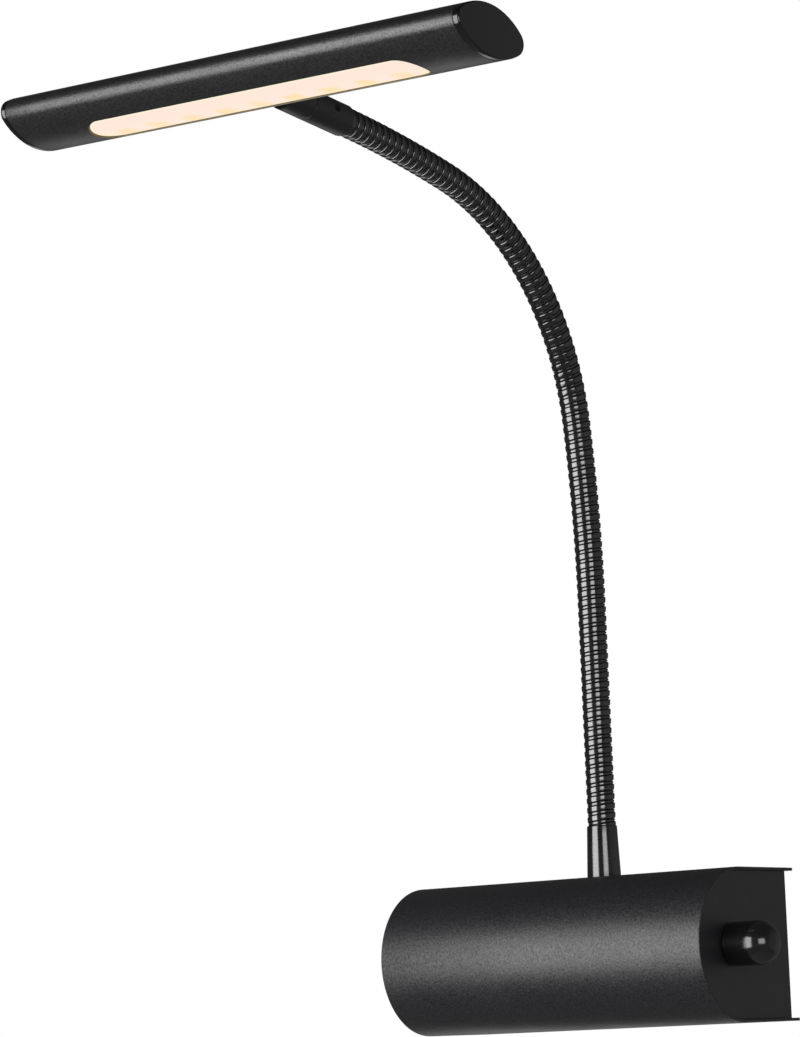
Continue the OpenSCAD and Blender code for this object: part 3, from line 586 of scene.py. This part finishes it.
coil_tree = bpy.data.node_groups.new("neck_winding", "GeometryNodeTree")
coil_tree.interface.new_socket("Centre line", in_out="INPUT", socket_type="NodeSocketGeometry")
coil_sizes = {
    "Start": 0.0, "Pitch": coil_pitch, "Radius": neck_r, "Band width": band_w, "Band thickness": band_t,
    "Band edge": band_edge, "Tilt": band_tilt, "Wire width": wire_w, "Wire thickness": wire_t,
    "Wire edge": wire_edge, "Wire drop": wire_drop, "Core radius": core_r,
}
coil_inputs = {}
for name in coil_sizes:
    coil_inputs[name] = coil_tree.interface.new_socket(name, in_out="INPUT", socket_type="NodeSocketFloat")
coil_plating = coil_tree.interface.new_socket("Plating", in_out="INPUT", socket_type="NodeSocketMaterial")
# The core's material: painted shade in the grooves between the turns
coil_groove_shade = coil_tree.interface.new_socket("Groove shade", in_out="INPUT", socket_type="NodeSocketMaterial")
coil_tree.interface.new_socket("Winding", in_out="OUTPUT", socket_type="NodeSocketGeometry")
coil_in = node(coil_tree, "NodeGroupInput")


def scaled(vector, size):
    """A vector times a number, in the winding's tree."""
    return node(coil_tree, "ShaderNodeVectorMath", {0: vector, "Scale": size}, operation="SCALE")["Vector"]


def wound_wire(profile, radius, lag):
    """Winds a profile round the centre line, at a radius and a share of a turn behind."""
    step = sum_of(coil_tree, "DIVIDE", coil_in["Pitch"], float(turn_steps))
    even = {"Curve": coil_in["Centre line"], "Length": step}
    line = node(coil_tree, "GeometryNodeResampleCurve", even, mode="LENGTH")["Curve"]
    along = node(coil_tree, "GeometryNodeSplineParameter")["Length"]
    turns = sum_of(coil_tree, "DIVIDE", sum_of(coil_tree, "ADD", along, coil_in["Start"]), coil_in["Pitch"])
    angle = sum_of(coil_tree, "MULTIPLY", sum_of(coil_tree, "SUBTRACT", turns, lag), 2 * math.pi)
    tangent = node(coil_tree, "GeometryNodeInputTangent")["Tangent"]
    side = node(coil_tree, "ShaderNodeVectorMath", {0: tangent, 1: X}, operation="CROSS_PRODUCT")["Vector"]
    across = scaled(X, sum_of(coil_tree, "COSINE", angle))
    up = scaled(side, sum_of(coil_tree, "SINE", angle))
    spoke = node(coil_tree, "ShaderNodeVectorMath", {0: across, 1: up}, operation="ADD")["Vector"]
    noted = node(
        coil_tree, "GeometryNodeStoreNamedAttribute", {"Geometry": line, "Name": "spoke", "Value": spoke},
        data_type="FLOAT_VECTOR", domain="POINT",
    )["Geometry"]
    kept = node(
        coil_tree, "GeometryNodeInputNamedAttribute", {"Name": "spoke"}, data_type="FLOAT_VECTOR"
    )["Attribute"]
    moved = {"Geometry": noted, "Offset": scaled(kept, radius)}
    coil = node(coil_tree, "GeometryNodeSetPosition", moved)["Geometry"]
    facing = {"Curve": coil, "Normal": kept}
    coil = node(coil_tree, "GeometryNodeSetCurveNormal", facing, mode="FREE")["Curve"]
    return node(
        coil_tree, "GeometryNodeCurveToMesh", {"Curve": coil, "Profile Curve": profile, "Fill Caps": True}
    )["Mesh"]


def wire_section(kind):
    """Section of the band or of the wire: flat, with rounded edges, tilted a little."""
    flat = node(
        coil_tree, "GeometryNodeCurvePrimitiveQuadrilateral",
        {"Width": coil_in[kind + " thickness"], "Height": coil_in[kind + " width"]}, mode="RECTANGLE",
    )["Curve"]
    edges = {"Curve": flat, "Count": 6, "Radius": coil_in[kind + " edge"]}
    rounded = node(coil_tree, "GeometryNodeFilletCurve", edges, mode="POLY")["Curve"]
    turn = node(coil_tree, "ShaderNodeCombineXYZ", {"Z": coil_in["Tilt"]})["Vector"]
    return node(coil_tree, "GeometryNodeTransform", {"Geometry": rounded, "Rotation": turn})["Geometry"]


band_half = sum_of(coil_tree, "MULTIPLY", coil_in["Band thickness"], 0.5)
band_radius = sum_of(coil_tree, "SUBTRACT", coil_in["Radius"], band_half)
wire_half = sum_of(coil_tree, "MULTIPLY", coil_in["Wire thickness"], 0.5)
wire_sunk = sum_of(coil_tree, "ADD", wire_half, coil_in["Wire drop"])
wire_radius = sum_of(coil_tree, "SUBTRACT", coil_in["Radius"], wire_sunk)
# The core: a tube just under the winding, which keeps the gaps between the turns shallow. Its matte black is
# painted shade, standing in for the shade deep in the grooves
core_shape = node(
    coil_tree, "GeometryNodeCurvePrimitiveCircle", {"Resolution": 48, "Radius": coil_in["Core radius"]}
)["Curve"]
shade_core = node(
    coil_tree, "GeometryNodeCurveToMesh",
    {"Curve": coil_in["Centre line"], "Profile Curve": core_shape, "Fill Caps": True},
)["Mesh"]
shade_core = node(
    coil_tree, "GeometryNodeStoreNamedAttribute", {"Geometry": shade_core, "Name": "shade_core", "Value": True},
    data_type="BOOLEAN", domain="FACE",
)["Geometry"]
coil_parts = coil_tree.nodes.new("GeometryNodeJoinGeometry")
band = wound_wire(wire_section("Band"), band_radius, 0.0)
wire = wound_wire(wire_section("Wire"), wire_radius, 0.5)
for part in (band, wire, shade_core):
    coil_tree.links.new(part, coil_parts.inputs["Geometry"])
real_coil = node(coil_tree, "GeometryNodeRealizeInstances", {0: coil_parts.outputs["Geometry"]})
clad_coil = node(
    coil_tree, "GeometryNodeSetMaterial", {"Geometry": real_coil[0], "Material": coil_in["Plating"]}
)
# The core's faces take the painted groove shade
in_painted_shade = node(
    coil_tree, "GeometryNodeInputNamedAttribute", {"Name": "shade_core"}, data_type="BOOLEAN"
)["Attribute"]
clad_coil = node(
    coil_tree, "GeometryNodeSetMaterial",
    {"Geometry": clad_coil[0], "Selection": in_painted_shade, "Material": coil_in["Groove shade"]},
)
node(coil_tree, "NodeGroupOutput", {0: clad_coil[0]})

neck_chrome = black_chrome("neck_chrome", (0.155, 0.155, 0.155), (0.13, 0.19))
# Painted shade: a flat matte black for the core, in place of the shade deep in the grooves between the turns
groove_painted_shade = finish(
    "groove_painted_shade", dark=(0.008, 0.008, 0.008), light=(0.012, 0.012, 0.012),
    spot=0.6 * MM, gloss=(0.7, 0.8), relief=0.004 * MM,
)
piece_l = neck_l / neck_hinges
line_steps = 40
# The winding goes a little way into the collar and into the sleeve
tuck_in = 3 * MM
for k in range(neck_hinges):
    from_s = k * piece_l if k else -tuck_in
    to_s = (k + 1) * piece_l if k < neck_hinges - 1 else neck_l + tuck_in
    stations = [from_s + (to_s - from_s) * step / line_steps for step in range(line_steps + 1)]
    centre_line = path_curve(f"neck_line_{k}", [neck_frame(s).translation for s in stations])
    winding = centre_line.modifiers.new("winding", "NODES")
    winding.node_group = coil_tree
    for name, size in coil_sizes.items():
        winding[coil_inputs[name].identifier] = size
    winding[coil_inputs["Start"].identifier] = from_s
    winding[coil_plating.identifier] = neck_chrome
    winding[coil_groove_shade.identifier] = groove_painted_shade
    coil_mesh = outward(plain_mesh(centre_line))
    for noted in ("spoke", "shade_core"):
        coil_mesh.attributes.remove(coil_mesh.attributes[noted])
    bpy.data.objects.remove(centre_line)
    neck_piece = shown(f"neck_winding_{k}", coil_mesh, neck_chrome)
    start, end = neck_frame(k * piece_l).translation, neck_frame((k + 1) * piece_l).translation
    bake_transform(neck_piece)
    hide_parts(f"neck_section_{k}", "neck_cable")
# The last winding stands for the last length too
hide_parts(f"neck_section_{neck_hinges}")

# Cable to the head: two wires in one grey sheath. It leaves the driver's side, bends up into the neck
# and ends at the connector in the head, and the neck's own winding hides it in between.
cable_r = 1.5 * MM
cable_bend = 12 * MM
cable_low_z = half_h - 26 * MM
swivel_share, connector_gap = 0.98, 2 * MM
sleeve_l, stub_l = 22 * MM, 11.5 * MM
oval_a, oval_b = 19.5 * MM, 9.75 * MM
head_at = neck_l + sleeve_l + stub_l + oval_a
cable_grey = finish(
    "cable_sheath", dark=(0.36, 0.36, 0.36), light=(0.45, 0.45, 0.44),
    spot=0.9 * MM, gloss=(0.45, 0.6), relief=0.004 * MM,
)
cable_turn = bend_points(Vector((-cable_bend, neck_y, cable_low_z + cable_bend)), -Z, X, cable_bend)
cable_parts = {
    "base": [*cable_turn, neck_frame(0).translation],
    "neck_9": [neck_frame(neck_l + share * sleeve_l).translation for share in (0, swivel_share)],
    "head": [neck_frame(s).translation for s in (neck_l + sleeve_l, head_at - connector_gap)],
}
for body, route in cable_parts.items():
    cable = sheathed("head_cable_" + body, route, cable_r, cable_grey)
    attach(cable, body)
    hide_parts("neck_cable")

# Sleeve: a turned black piece on the neck's end, with a grub screw through its wall. The screw's tip
# runs in a groove of the stub, so that the head turns but stays on.
sleeve_r = 6.25 * MM
sleeve_bore = 5.75 * MM
sleeve_edge, seam_edge = 0.5 * MM, 0.3 * MM
grub_at, grub_r, grub_l, grub_angle = 10.5 * MM, 1.55 * MM, 4 * MM, math.radians(8)
sleeve_black = powder_coat("sleeve_black", grain=0.35 * MM, depth=0.008 * MM, level=0.008, glint=0.08)
sleeve_place = neck_frame(neck_l)
sleeve_profile = filleted([
    (sleeve_bore, 0, 0),
    (sleeve_r, 0, sleeve_edge),
    (sleeve_r, sleeve_l / 2, 0),
    (sleeve_r, sleeve_l, seam_edge),
    (sleeve_bore, sleeve_l, 0),
])
sleeve = turned("head_sleeve_piece", sleeve_profile, sleeve_place, sleeve_black)
grub_out = sleeve_place.to_3x3() @ Vector((math.cos(grub_angle), math.sin(grub_angle), 0))
grub_place = sleeve_place @ Vector((0, 0, grub_at)) + grub_out * sleeve_r
fit(drilled(sleeve, [(grub_place, grub_out, grub_r, grub_r, grub_l)]), "black_turned", "head_sleeve")
grub_black = finish(
    "black_oxide", dark=(0.010, 0.010, 0.010), light=(0.016, 0.016, 0.016),
    spot=0.4 * MM, gloss=(0.5, 0.6), relief=0.004 * MM,
)
softened("sleeve_grub_screw", grub_black, "black_turned", edge=0.1 * MM)

# Stub: a turned black piece that grips the head's rear edge in a saddle. Its journal turns in the
# sleeve, and a nut on its shank draws it tight from inside the head.
head_roll = math.radians(1.5)
head_place = neck_frame(head_at) @ Matrix.Rotation(-head_roll, 4, "Z")
edge_r = 5 * MM
edge_at = oval_a - edge_r
saddle_gap, saddle_wrap = 0.1 * MM, 2 * MM
saddle_r = edge_r + saddle_gap
journal_r, journal_l = 4.5 * MM, 15.2 * MM
stub_bore = 0.4 * journal_r
seam, seam_gap, seam_land = -oval_a - stub_l, 0.1 * MM, 1 * MM
stub_steps = 96
stub_angles = [2 * math.pi * i / stub_steps for i in range(stub_steps)]


def stub_ring(radius, along):
    """A round ring of the stub, at a distance from the head's middle."""
    return [head_place @ Vector((radius * math.cos(a), radius * math.sin(a), along)) for a in stub_angles]


def saddle_ring(radius):
    """A ring of the saddle that lies on the head's rear edge."""
    ring = []
    for angle in stub_angles:
        x, y = radius * math.cos(angle), radius * math.sin(angle)
        depth = math.sqrt(max(0.0, saddle_r ** 2 - y ** 2))
        ring.append(head_place @ Vector((x, y, min(saddle_wrap - oval_a, -edge_at - depth))))
    return ring


stub_profile = filleted([
    (stub_bore, seam - journal_l, 0),
    (journal_r, seam - journal_l, seam_edge),
    (journal_r, seam + seam_gap, 0),
    (sleeve_r, seam + seam_gap, seam_edge),
    (sleeve_r, seam + seam_land, 0),
])
saddle_shares = (1, 0.98, 0.8, 0.6, 0.4, 0.2)
stub_rings = [stub_ring(radius, along) for radius, along in stub_profile]
stub_rings += [saddle_ring(sleeve_r * share) for share in saddle_shares]
fit(skinned("head_stub_piece", stub_rings, sleeve_black), "black_turned", "head_stub")
softened("stub_nut", zinc_screw, "zinc_steel", edge=0.2 * MM)

# Head: an extruded aluminium tube of oval section in the same satin black, with a long slot with round
# ends milled in its underside for the light.
tube_l, tube_t = 220.4 * MM, 1.2 * MM
side_r = (edge_at ** 2 + oval_b ** 2 - edge_r ** 2) / (2 * (oval_b - edge_r))
side_at = side_r - oval_b
side_angle = math.atan2(edge_at, side_at)
window_l, window_w, window_shift = 162 * MM, 18 * MM, 2 * MM
window_half = window_w / 2
window_straight = window_l / 2 - window_half
window_lip = 0.45 * MM
margin_to = 11 * MM
tube_edge = 0.3 * MM
plain_shares = (0.15, 0.5)
low_steps, tip_steps, top_steps = 6, 24, 16
slot_turn_steps, slot_run_steps = 20, 6


def underside(z, inset):
    """Height of the oval's underside at a distance from its middle."""
    return side_at - math.sqrt((side_r - inset) ** 2 - z ** 2)


def half_oval(gap, inset):
    """Points of the oval in Z and Y, from the slot's edge round the front to the top's middle."""
    low_r, tip_r = side_r - inset, edge_r - inset
    margin = [gap + (margin_to - gap) * i / low_steps for i in range(low_steps + 1)]
    points = [(z, underside(z, inset)) for z in margin]
    margin_angle = math.asin(margin_to / low_r)
    for i in range(1, low_steps + 1):
        angle = margin_angle + (side_angle - margin_angle) * i / low_steps
        points.append((low_r * math.sin(angle), side_at - low_r * math.cos(angle)))
    for i in range(1, tip_steps + 1):
        angle = side_angle - math.pi / 2 + (math.pi - 2 * side_angle) * i / tip_steps
        points.append((edge_at + tip_r * math.cos(angle), tip_r * math.sin(angle)))
    for i in range(1, top_steps + 1):
        angle = side_angle * (1 - i / top_steps)
        points.append((low_r * math.sin(angle), low_r * math.cos(angle) - side_at))
    return points


def oval_ring(x, gap, inset):
    """A ring of the tube at X, open by the slot's gap on the underside."""
    front = half_oval(gap, inset)
    rear = [(-z, y) for z, y in front[-2::-1]]
    return [head_place @ Vector((x, y, z)) for z, y in front + rear]


def slot_stations(grow):
    """Places along the slot and its half gap there, for a slot that is wider by grow all round."""
    radius = window_half + grow
    turns = [math.pi / 2 * i / slot_turn_steps for i in range(slot_turn_steps + 1)]
    right = [(window_straight + radius * math.sin(a), radius * math.cos(a)) for a in turns]
    middle = [(window_straight * i / slot_run_steps, radius) for i in range(slot_run_steps)]
    half = middle + right
    half[-1] = (half[-1][0], 0.0)
    whole = [(-x, gap) for x, gap in half[:0:-1]] + half
    return [(window_shift + x, gap) for x, gap in whole]


def tube_stations(grow, inset):
    """Places, half gaps and insets along the whole tube."""
    slot_run = [(x, gap, inset) for x, gap in slot_stations(grow)]
    margins = []
    for sign, tip in ((-1, slot_run[0][0]), (1, slot_run[-1][0])):
        edge = rounded_end(tube_edge)
        ends = [(sign * (tube_l / 2 - setback), 0.0, inset + drawn) for setback, drawn in edge]
        plain = [(tip + (ends[-1][0] - tip) * share, 0.0, inset) for share in plain_shares]
        margins.append(plain + ends[::-1])
    left, right = margins
    return left[::-1] + slot_run + right


tube_shape = bmesh.new()


def tube_rows(rows, coat=0):
    """Skins the tube's mesh over rows of points, in its first finish or in the second, the lip's coat with
    its painted glow.
    """
    made = [[tube_shape.verts.new(point) for point in row] for row in rows]
    for row, after in zip(made, made[1:]):
        for i in range(len(row) - 1):
            face = tube_shape.faces.new((row[i], row[i + 1], after[i + 1], after[i]))
            face.material_index = coat


def lip_row(sign, grow, inset, depth):
    """A row of points along one side of the slot's lip, so deep in the tube's wall."""
    run = slot_stations(grow)
    return [head_place @ Vector((x, underside(gap, inset) + depth, sign * gap)) for x, gap in run]


outer_rings = [oval_ring(*station) for station in tube_stations(window_lip, 0.0)]
inner_rings = [oval_ring(x, gap, tube_t) for x, gap, drawn in tube_stations(0.0, 0.0)]
tube_rows(outer_rings)
tube_rows(inner_rings)
for side in (0, -1):
    tube_rows([outer_rings[side], inner_rings[side]])
# The slot's lip rolls in from the outside, then goes straight through the wall
for sign in (1, -1):
    lip_rows = []
    for setback, grow in rounded_end(window_lip)[::-1]:
        lip_rows.append(lip_row(sign, window_lip - grow, 0.0, window_lip - setback))
    lip_rows.append(lip_row(sign, 0.0, tube_t, 0.0))
    tube_rows(lip_rows, coat=1)
tube_mesh = as_mesh("head_tube_piece", tube_shape)
head_coat = powder_coat(
    "head_coat", grain=0.7 * MM, depth=0.09 * MM, level=0.007, glint=0.24, gloss=(0.38, 0.43), ior=1.85
)
# Painted glow: the lip's coat emits a faint warm brown light, which stands in for the diffuser's light
# falling on the lip
lip_painted_glow = powder_coat("lip_painted_glow", grain=0.7 * MM, depth=0.02 * MM, level=0.009, glint=0.08)
lip_glow_shader = lip_painted_glow.node_tree.nodes["Principled BSDF"].inputs
lip_glow_shader["Emission Color"].default_value = (0.13, 0.085, 0.04, 1)
lip_glow_shader["Emission Strength"].default_value = 1.0
for coat in (head_coat, lip_painted_glow):
    tube_mesh.materials.append(coat)
fit(shown("head_tube_piece", outward(tube_mesh), head_coat), "black_tube", "head_tube")

# End caps: oval plugs of glossy black plastic, pressed into the tube's ends, each with a rim as wide as
# the tube and a softly rounded edge.
cap_rim, cap_plug = 2.8 * MM, 7 * MM
cap_edge, cap_back_edge, cap_gap = 0.9 * MM, 0.2 * MM, 0.1 * MM
plug_inset = tube_t + cap_gap
rim_in, rim_out = tube_l / 2 + cap_gap, tube_l / 2 + cap_rim
cap_black = finish(
    "cap_plastic", dark=(0.002, 0.002, 0.002), light=(0.003, 0.003, 0.003),
    spot=0.5 * MM, gloss=(0.12, 0.18), relief=0.001 * MM, ior=1.75,
)
cap_stations = [(tube_l / 2 - cap_plug, plug_inset), (rim_in, plug_inset)]
cap_stations += [(rim_in + setback, drawn) for setback, drawn in rounded_end(cap_back_edge)]
cap_stations += [(rim_out - setback, drawn) for setback, drawn in rounded_end(cap_edge, steps=8)[::-1]]
for name, sign in (("head_cap_left", -1), ("head_cap_right", 1)):
    cap_rings = [oval_ring(sign * x, 0.0, drawn)[:-1] for x, drawn in cap_stations]
    fit(skinned(name + "_piece", cap_rings, cap_black), "black_plastic", name)

# Light: a row of LEDs on a white board, on an aluminium strip that slides in the tube's rails. The cable
# plugs into a small connector on the strip.
strip_metal = finish(
    "strip_aluminium", dark=(0.66, 0.67, 0.68), light=(0.75, 0.76, 0.77),
    spot=2 * MM, gloss=(0.3, 0.42), relief=0.004 * MM, metal=1.0,
)
board_white = finish(
    "board_white", dark=(0.72, 0.72, 0.70), light=(0.78, 0.78, 0.76),
    spot=0.8 * MM, gloss=(0.35, 0.45), relief=0.003 * MM,
)
phosphor = finish(
    "led_phosphor", dark=(0.72, 0.52, 0.06), light=(0.80, 0.62, 0.10),
    spot=0.3 * MM, gloss=(0.4, 0.55), relief=0.01 * MM,
)
softened("led_carrier", strip_metal, "carrier_aluminium", edge=0.2 * MM)
softened("led_board", board_white, "carrier_aluminium", edge=0.15 * MM)
softened("led_chips", phosphor, "led_phosphor", edge=0.1 * MM)
softened("head_connector", white_plastic, "white_plastic", edge=0.3 * MM)

# Diffuser: a moulded milky strip inside the tube, with a raised face that fills the slot just under its
# lip. Its light is warmer between the LEDs, in patches along its rear half, and creamy round its rim.
face_gap, face_sunk, face_edge = 0.1 * MM, 0.6 * MM, 0.3 * MM
face_back = -5.0 * MM
face_seam = 0.01 * MM
face_loops = 9
opal_spot, opal_gloss = 1.5 * MM, (0.45, 0.6)
led_pitch = 17 * MM
patch_wave, patch_front, patch_rear = (-0.7, 0.9), (1.5 * MM, -2.0 * MM), (-9.0 * MM, -6.0 * MM)
patch_spot, patch_share = 7 * MM, (0.5, 1.2)
rim_zone, side_zone = (7.5 * MM, 8.1 * MM), (-4.0 * MM, 4.0 * MM)
led_light, gap_light = (1.0, 0.80, 0.69), (0.98, 0.74, 0.42)
rear_rim_light, front_rim_light = (1.0, 0.86, 0.50), (1.0, 0.90, 0.68)


def slot_loop(grow):
    """The slot's outline as a closed loop of X and Z, grown or drawn in all round."""
    stations = slot_stations(grow)
    return stations + [(x, -gap) for x, gap in stations[-2:0:-1]]


def back_ring(grow):
    """A ring of the diffuser's flat back."""
    return [head_place @ Vector((x, face_back, z)) for x, z in slot_loop(grow)]


def face_ring(grow, depth):
    """A ring of the raised face, which follows the oval's underside, or lies so deep behind it."""
    return [head_place @ Vector((x, underside(z, face_sunk) + depth, z)) for x, z in slot_loop(grow)]


def faded(tree, value, start, end):
    """A soft step, from 0 at the start to 1 at the end."""
    limits = {"Value": value, "From Min": start, "From Max": end}
    return node(tree, "ShaderNodeMapRange", limits, interpolation_type="SMOOTHSTEP")["Result"]


opal, tree, shader = new_finish("opal_lit")
head_axes = {
    "Vector": node(tree, "ShaderNodeTexCoord")["Object"],
    "Location": head_place.translation, "Rotation": head_place.to_euler(),
}
local = node(tree, "ShaderNodeMapping", head_axes, vector_type="TEXTURE")["Vector"]
place = node(tree, "ShaderNodeSeparateXYZ", {0: local})
from_middle = sum_of(tree, "SUBTRACT", place["X"], window_shift)
wave = sum_of(tree, "COSINE", sum_of(tree, "MULTIPLY", from_middle, 2 * math.pi / led_pitch))
patch = faded(tree, wave, *patch_wave)
rise, fall = (faded(tree, place["Z"], *zone) for zone in (patch_front, patch_rear))
patch = sum_of(tree, "MULTIPLY", patch, sum_of(tree, "MULTIPLY", rise, fall))
warm = sum_of(tree, "MULTIPLY", patch, ranged(tree, spots(tree, patch_spot), *patch_share))
glow = tinted(tree, warm, led_light, gap_light)
past_end = sum_of(tree, "SUBTRACT", sum_of(tree, "ABSOLUTE", from_middle), window_straight)
past_end = sum_of(tree, "MAXIMUM", past_end, 0.0)
squares = sum_of(tree, "ADD", sum_of(tree, "POWER", past_end, 2.0), sum_of(tree, "POWER", place["Z"], 2.0))
rim = faded(tree, sum_of(tree, "SQRT", squares), *rim_zone)
side = faded(tree, place["Z"], *side_zone)
rim_glow = tinted(tree, side, rear_rim_light, front_rim_light)
glow = node(tree, "ShaderNodeMix", {0: rim, 6: glow, 7: rim_glow}, data_type="RGBA")[2]
tree.links.new(glow, shader["Emission Color"])
shader["Emission Strength"].default_value = 0.96
shader["Base Color"].default_value = (0.04, 0.04, 0.04, 1)
tree.links.new(ranged(tree, spots(tree, opal_spot), *opal_gloss), shader["Roughness"])

face_rings = [back_ring(face_seam - window_half), back_ring(-face_gap)]
for setback, drawn in rounded_end(face_edge)[::-1]:
    face_rings.append(face_ring(-face_gap - drawn, face_edge - setback))
face_span = window_half - face_gap - face_edge - face_seam
for loop in range(1, face_loops + 1):
    face_rings.append(face_ring(-face_gap - face_edge - face_span * loop / face_loops, 0.0))
fit(skinned("diffuser_piece", face_rings, opal, ends="open"), "opal", "diffuser")

# Floor: a plain pale sheet far under the lamp, which hangs on a wall. It is out of the main view, and
# a camera that sees it finds it nearly white.
floor_z, floor_r = -1.6, 3.0
floor_white = 0.6
floor_shape = bmesh.new()
floor_place = Matrix.Translation((0, 0, floor_z))
bmesh.ops.create_circle(floor_shape, cap_ends=True, segments=96, radius=floor_r, matrix=floor_place)
floor_pale = finish(
    "floor_pale", dark=(0.34, 0.34, 0.34), light=(0.36, 0.36, 0.36),
    spot=30 * MM, gloss=(0.8, 0.9), relief=0.0,
)
tree = floor_pale.node_tree
shader = tree.nodes["Principled BSDF"].inputs
floor_seen = node(tree, "ShaderNodeLightPath")["Is Camera Ray"]
tree.links.new(sum_of(tree, "MULTIPLY", floor_seen, floor_white), shader["Emission Strength"])
shader["Emission Color"].default_value = (1, 1, 1, 1)
shader["Specular IOR Level"].default_value = 0.0
floor = shown("floor", as_mesh("floor", floor_shape), floor_pale)

# Camera: where the photograph was taken from, a little below the lamp's base and to its right. Its place,
# its angles and its focal length were fitted to the base's straight edges and the neck's thickness.
camera_place = Vector((952.0, -1344.4, -40.5)) * MM
camera_turn, camera_rise, camera_roll = math.radians(38.38), math.radians(7.71), math.radians(-2.28)
focal_px, frame_px, sensor_mm = 4030.0, 1037.0, 36.0
shift_right_px, shift_up_px = 0.5, -1.0
ahead = Vector((
    -math.sin(camera_turn) * math.cos(camera_rise),
    math.cos(camera_turn) * math.cos(camera_rise),
    math.sin(camera_rise),
))
level = Vector((math.cos(camera_turn), math.sin(camera_turn), 0))
upright = level.cross(ahead)
right = math.cos(camera_roll) * level + math.sin(camera_roll) * upright
above = -math.sin(camera_roll) * level + math.cos(camera_roll) * upright
camera_data = bpy.data.cameras.new("camera")
camera_data.sensor_width = sensor_mm
camera_data.lens = sensor_mm * focal_px / frame_px
camera_data.shift_x, camera_data.shift_y = shift_right_px / frame_px, shift_up_px / frame_px
camera = placed("camera", camera_data)
camera.matrix_world = Matrix.Translation(camera_place) @ Matrix((right, above, -ahead)).transposed().to_4x4()
bpy.context.scene.camera = camera

# Studio light: two soft boxes in front, one to the left and one to the right, which draw the two bright
# strips on the collar and the neck, and a white backdrop behind the lamp in a dim room.
lamp_middle = Vector((0, -0.11, 0.16))
box_away = 1.25
toward_camera = Vector((camera_place.x, camera_place.y - lamp_middle.y, 0)).normalized()
toward_right = Vector((-toward_camera.y, toward_camera.x, 0))
# Swing and height of each box in degrees, as seen from the lamp, and its size in metres
for name, swing, height, size, power in (
    ("left_box", -62, -3, (1.05, 1.2), 4.05),
    ("right_box", 17, -1, (0.70, 0.56), 2.85),
):
    angle, lift = math.radians(swing), math.radians(height)
    flat = math.cos(angle) * toward_camera + math.sin(angle) * toward_right
    direction = math.cos(lift) * flat + math.sin(lift) * Z
    lamp = bpy.data.lights.new(name, "AREA")
    lamp.shape = "RECTANGLE"
    lamp.size, lamp.size_y = size
    lamp.energy = power * math.pi * size[0] * size[1]
    soft_box = placed(name, lamp)
    across = Z.cross(direction).normalized()
    turn = Matrix((across, direction.cross(across), direction)).transposed().to_4x4()
    soft_box.matrix_world = Matrix.Translation(lamp_middle + box_away * direction) @ turn
    soft_box.visible_camera = False

fill_level, room_low, room_high, room_right = 0.30, 0.11, 0.04, 0.10
world = bpy.data.worlds.new("studio")
bpy.context.scene.world = world
world.use_nodes = True
tree = world.node_tree
rays = node(tree, "ShaderNodeLightPath")
direction = node(tree, "ShaderNodeTexCoord")["Generated"]
backdrop_drop = math.radians(25)
backdrop_way = -math.cos(backdrop_drop) * toward_camera - math.sin(backdrop_drop) * Z


def agrees(way):
    """How far a ray's direction agrees with a way: 1 where they are the same, 0 at right angles."""
    return node(tree, "ShaderNodeVectorMath", {0: direction, 1: way}, operation="DOT_PRODUCT")["Value"]


way_up = node(tree, "ShaderNodeSeparateXYZ", {0: direction})["Z"]
room_limits = {"Value": way_up, "From Min": -0.2, "From Max": 0.8, "To Min": room_low, "To Max": room_high}
room = node(tree, "ShaderNodeMapRange", room_limits)["Result"]
right_limits = {
    "Value": agrees(toward_right), "From Min": 0.62, "From Max": 0.92, "To Min": 0.0, "To Max": room_right,
}
room = sum_of(tree, "ADD", room, node(tree, "ShaderNodeMapRange", right_limits)["Result"])
backdrop_limits = {
    "Value": agrees(backdrop_way), "From Min": 0.955, "From Max": 1.0, "To Min": room, "To Max": 1.0,
}
backdrop = node(tree, "ShaderNodeMapRange", backdrop_limits)["Result"]
mirrored = sum_of(tree, "MAXIMUM", rays["Is Glossy Ray"], rays["Is Transmission Ray"])
lit = node(tree, "ShaderNodeMix", {0: mirrored, 2: fill_level, 3: backdrop}, data_type="FLOAT")[0]
seen = node(tree, "ShaderNodeMix", {0: rays["Is Camera Ray"], 2: lit, 3: 1.0}, data_type="FLOAT")[0]
tree.links.new(seen, tree.nodes["Background"].inputs["Strength"])
tree.nodes["Background"].inputs["Color"].default_value = (1, 1, 1, 1)
bpy.context.scene.view_settings.view_transform = "Standard"
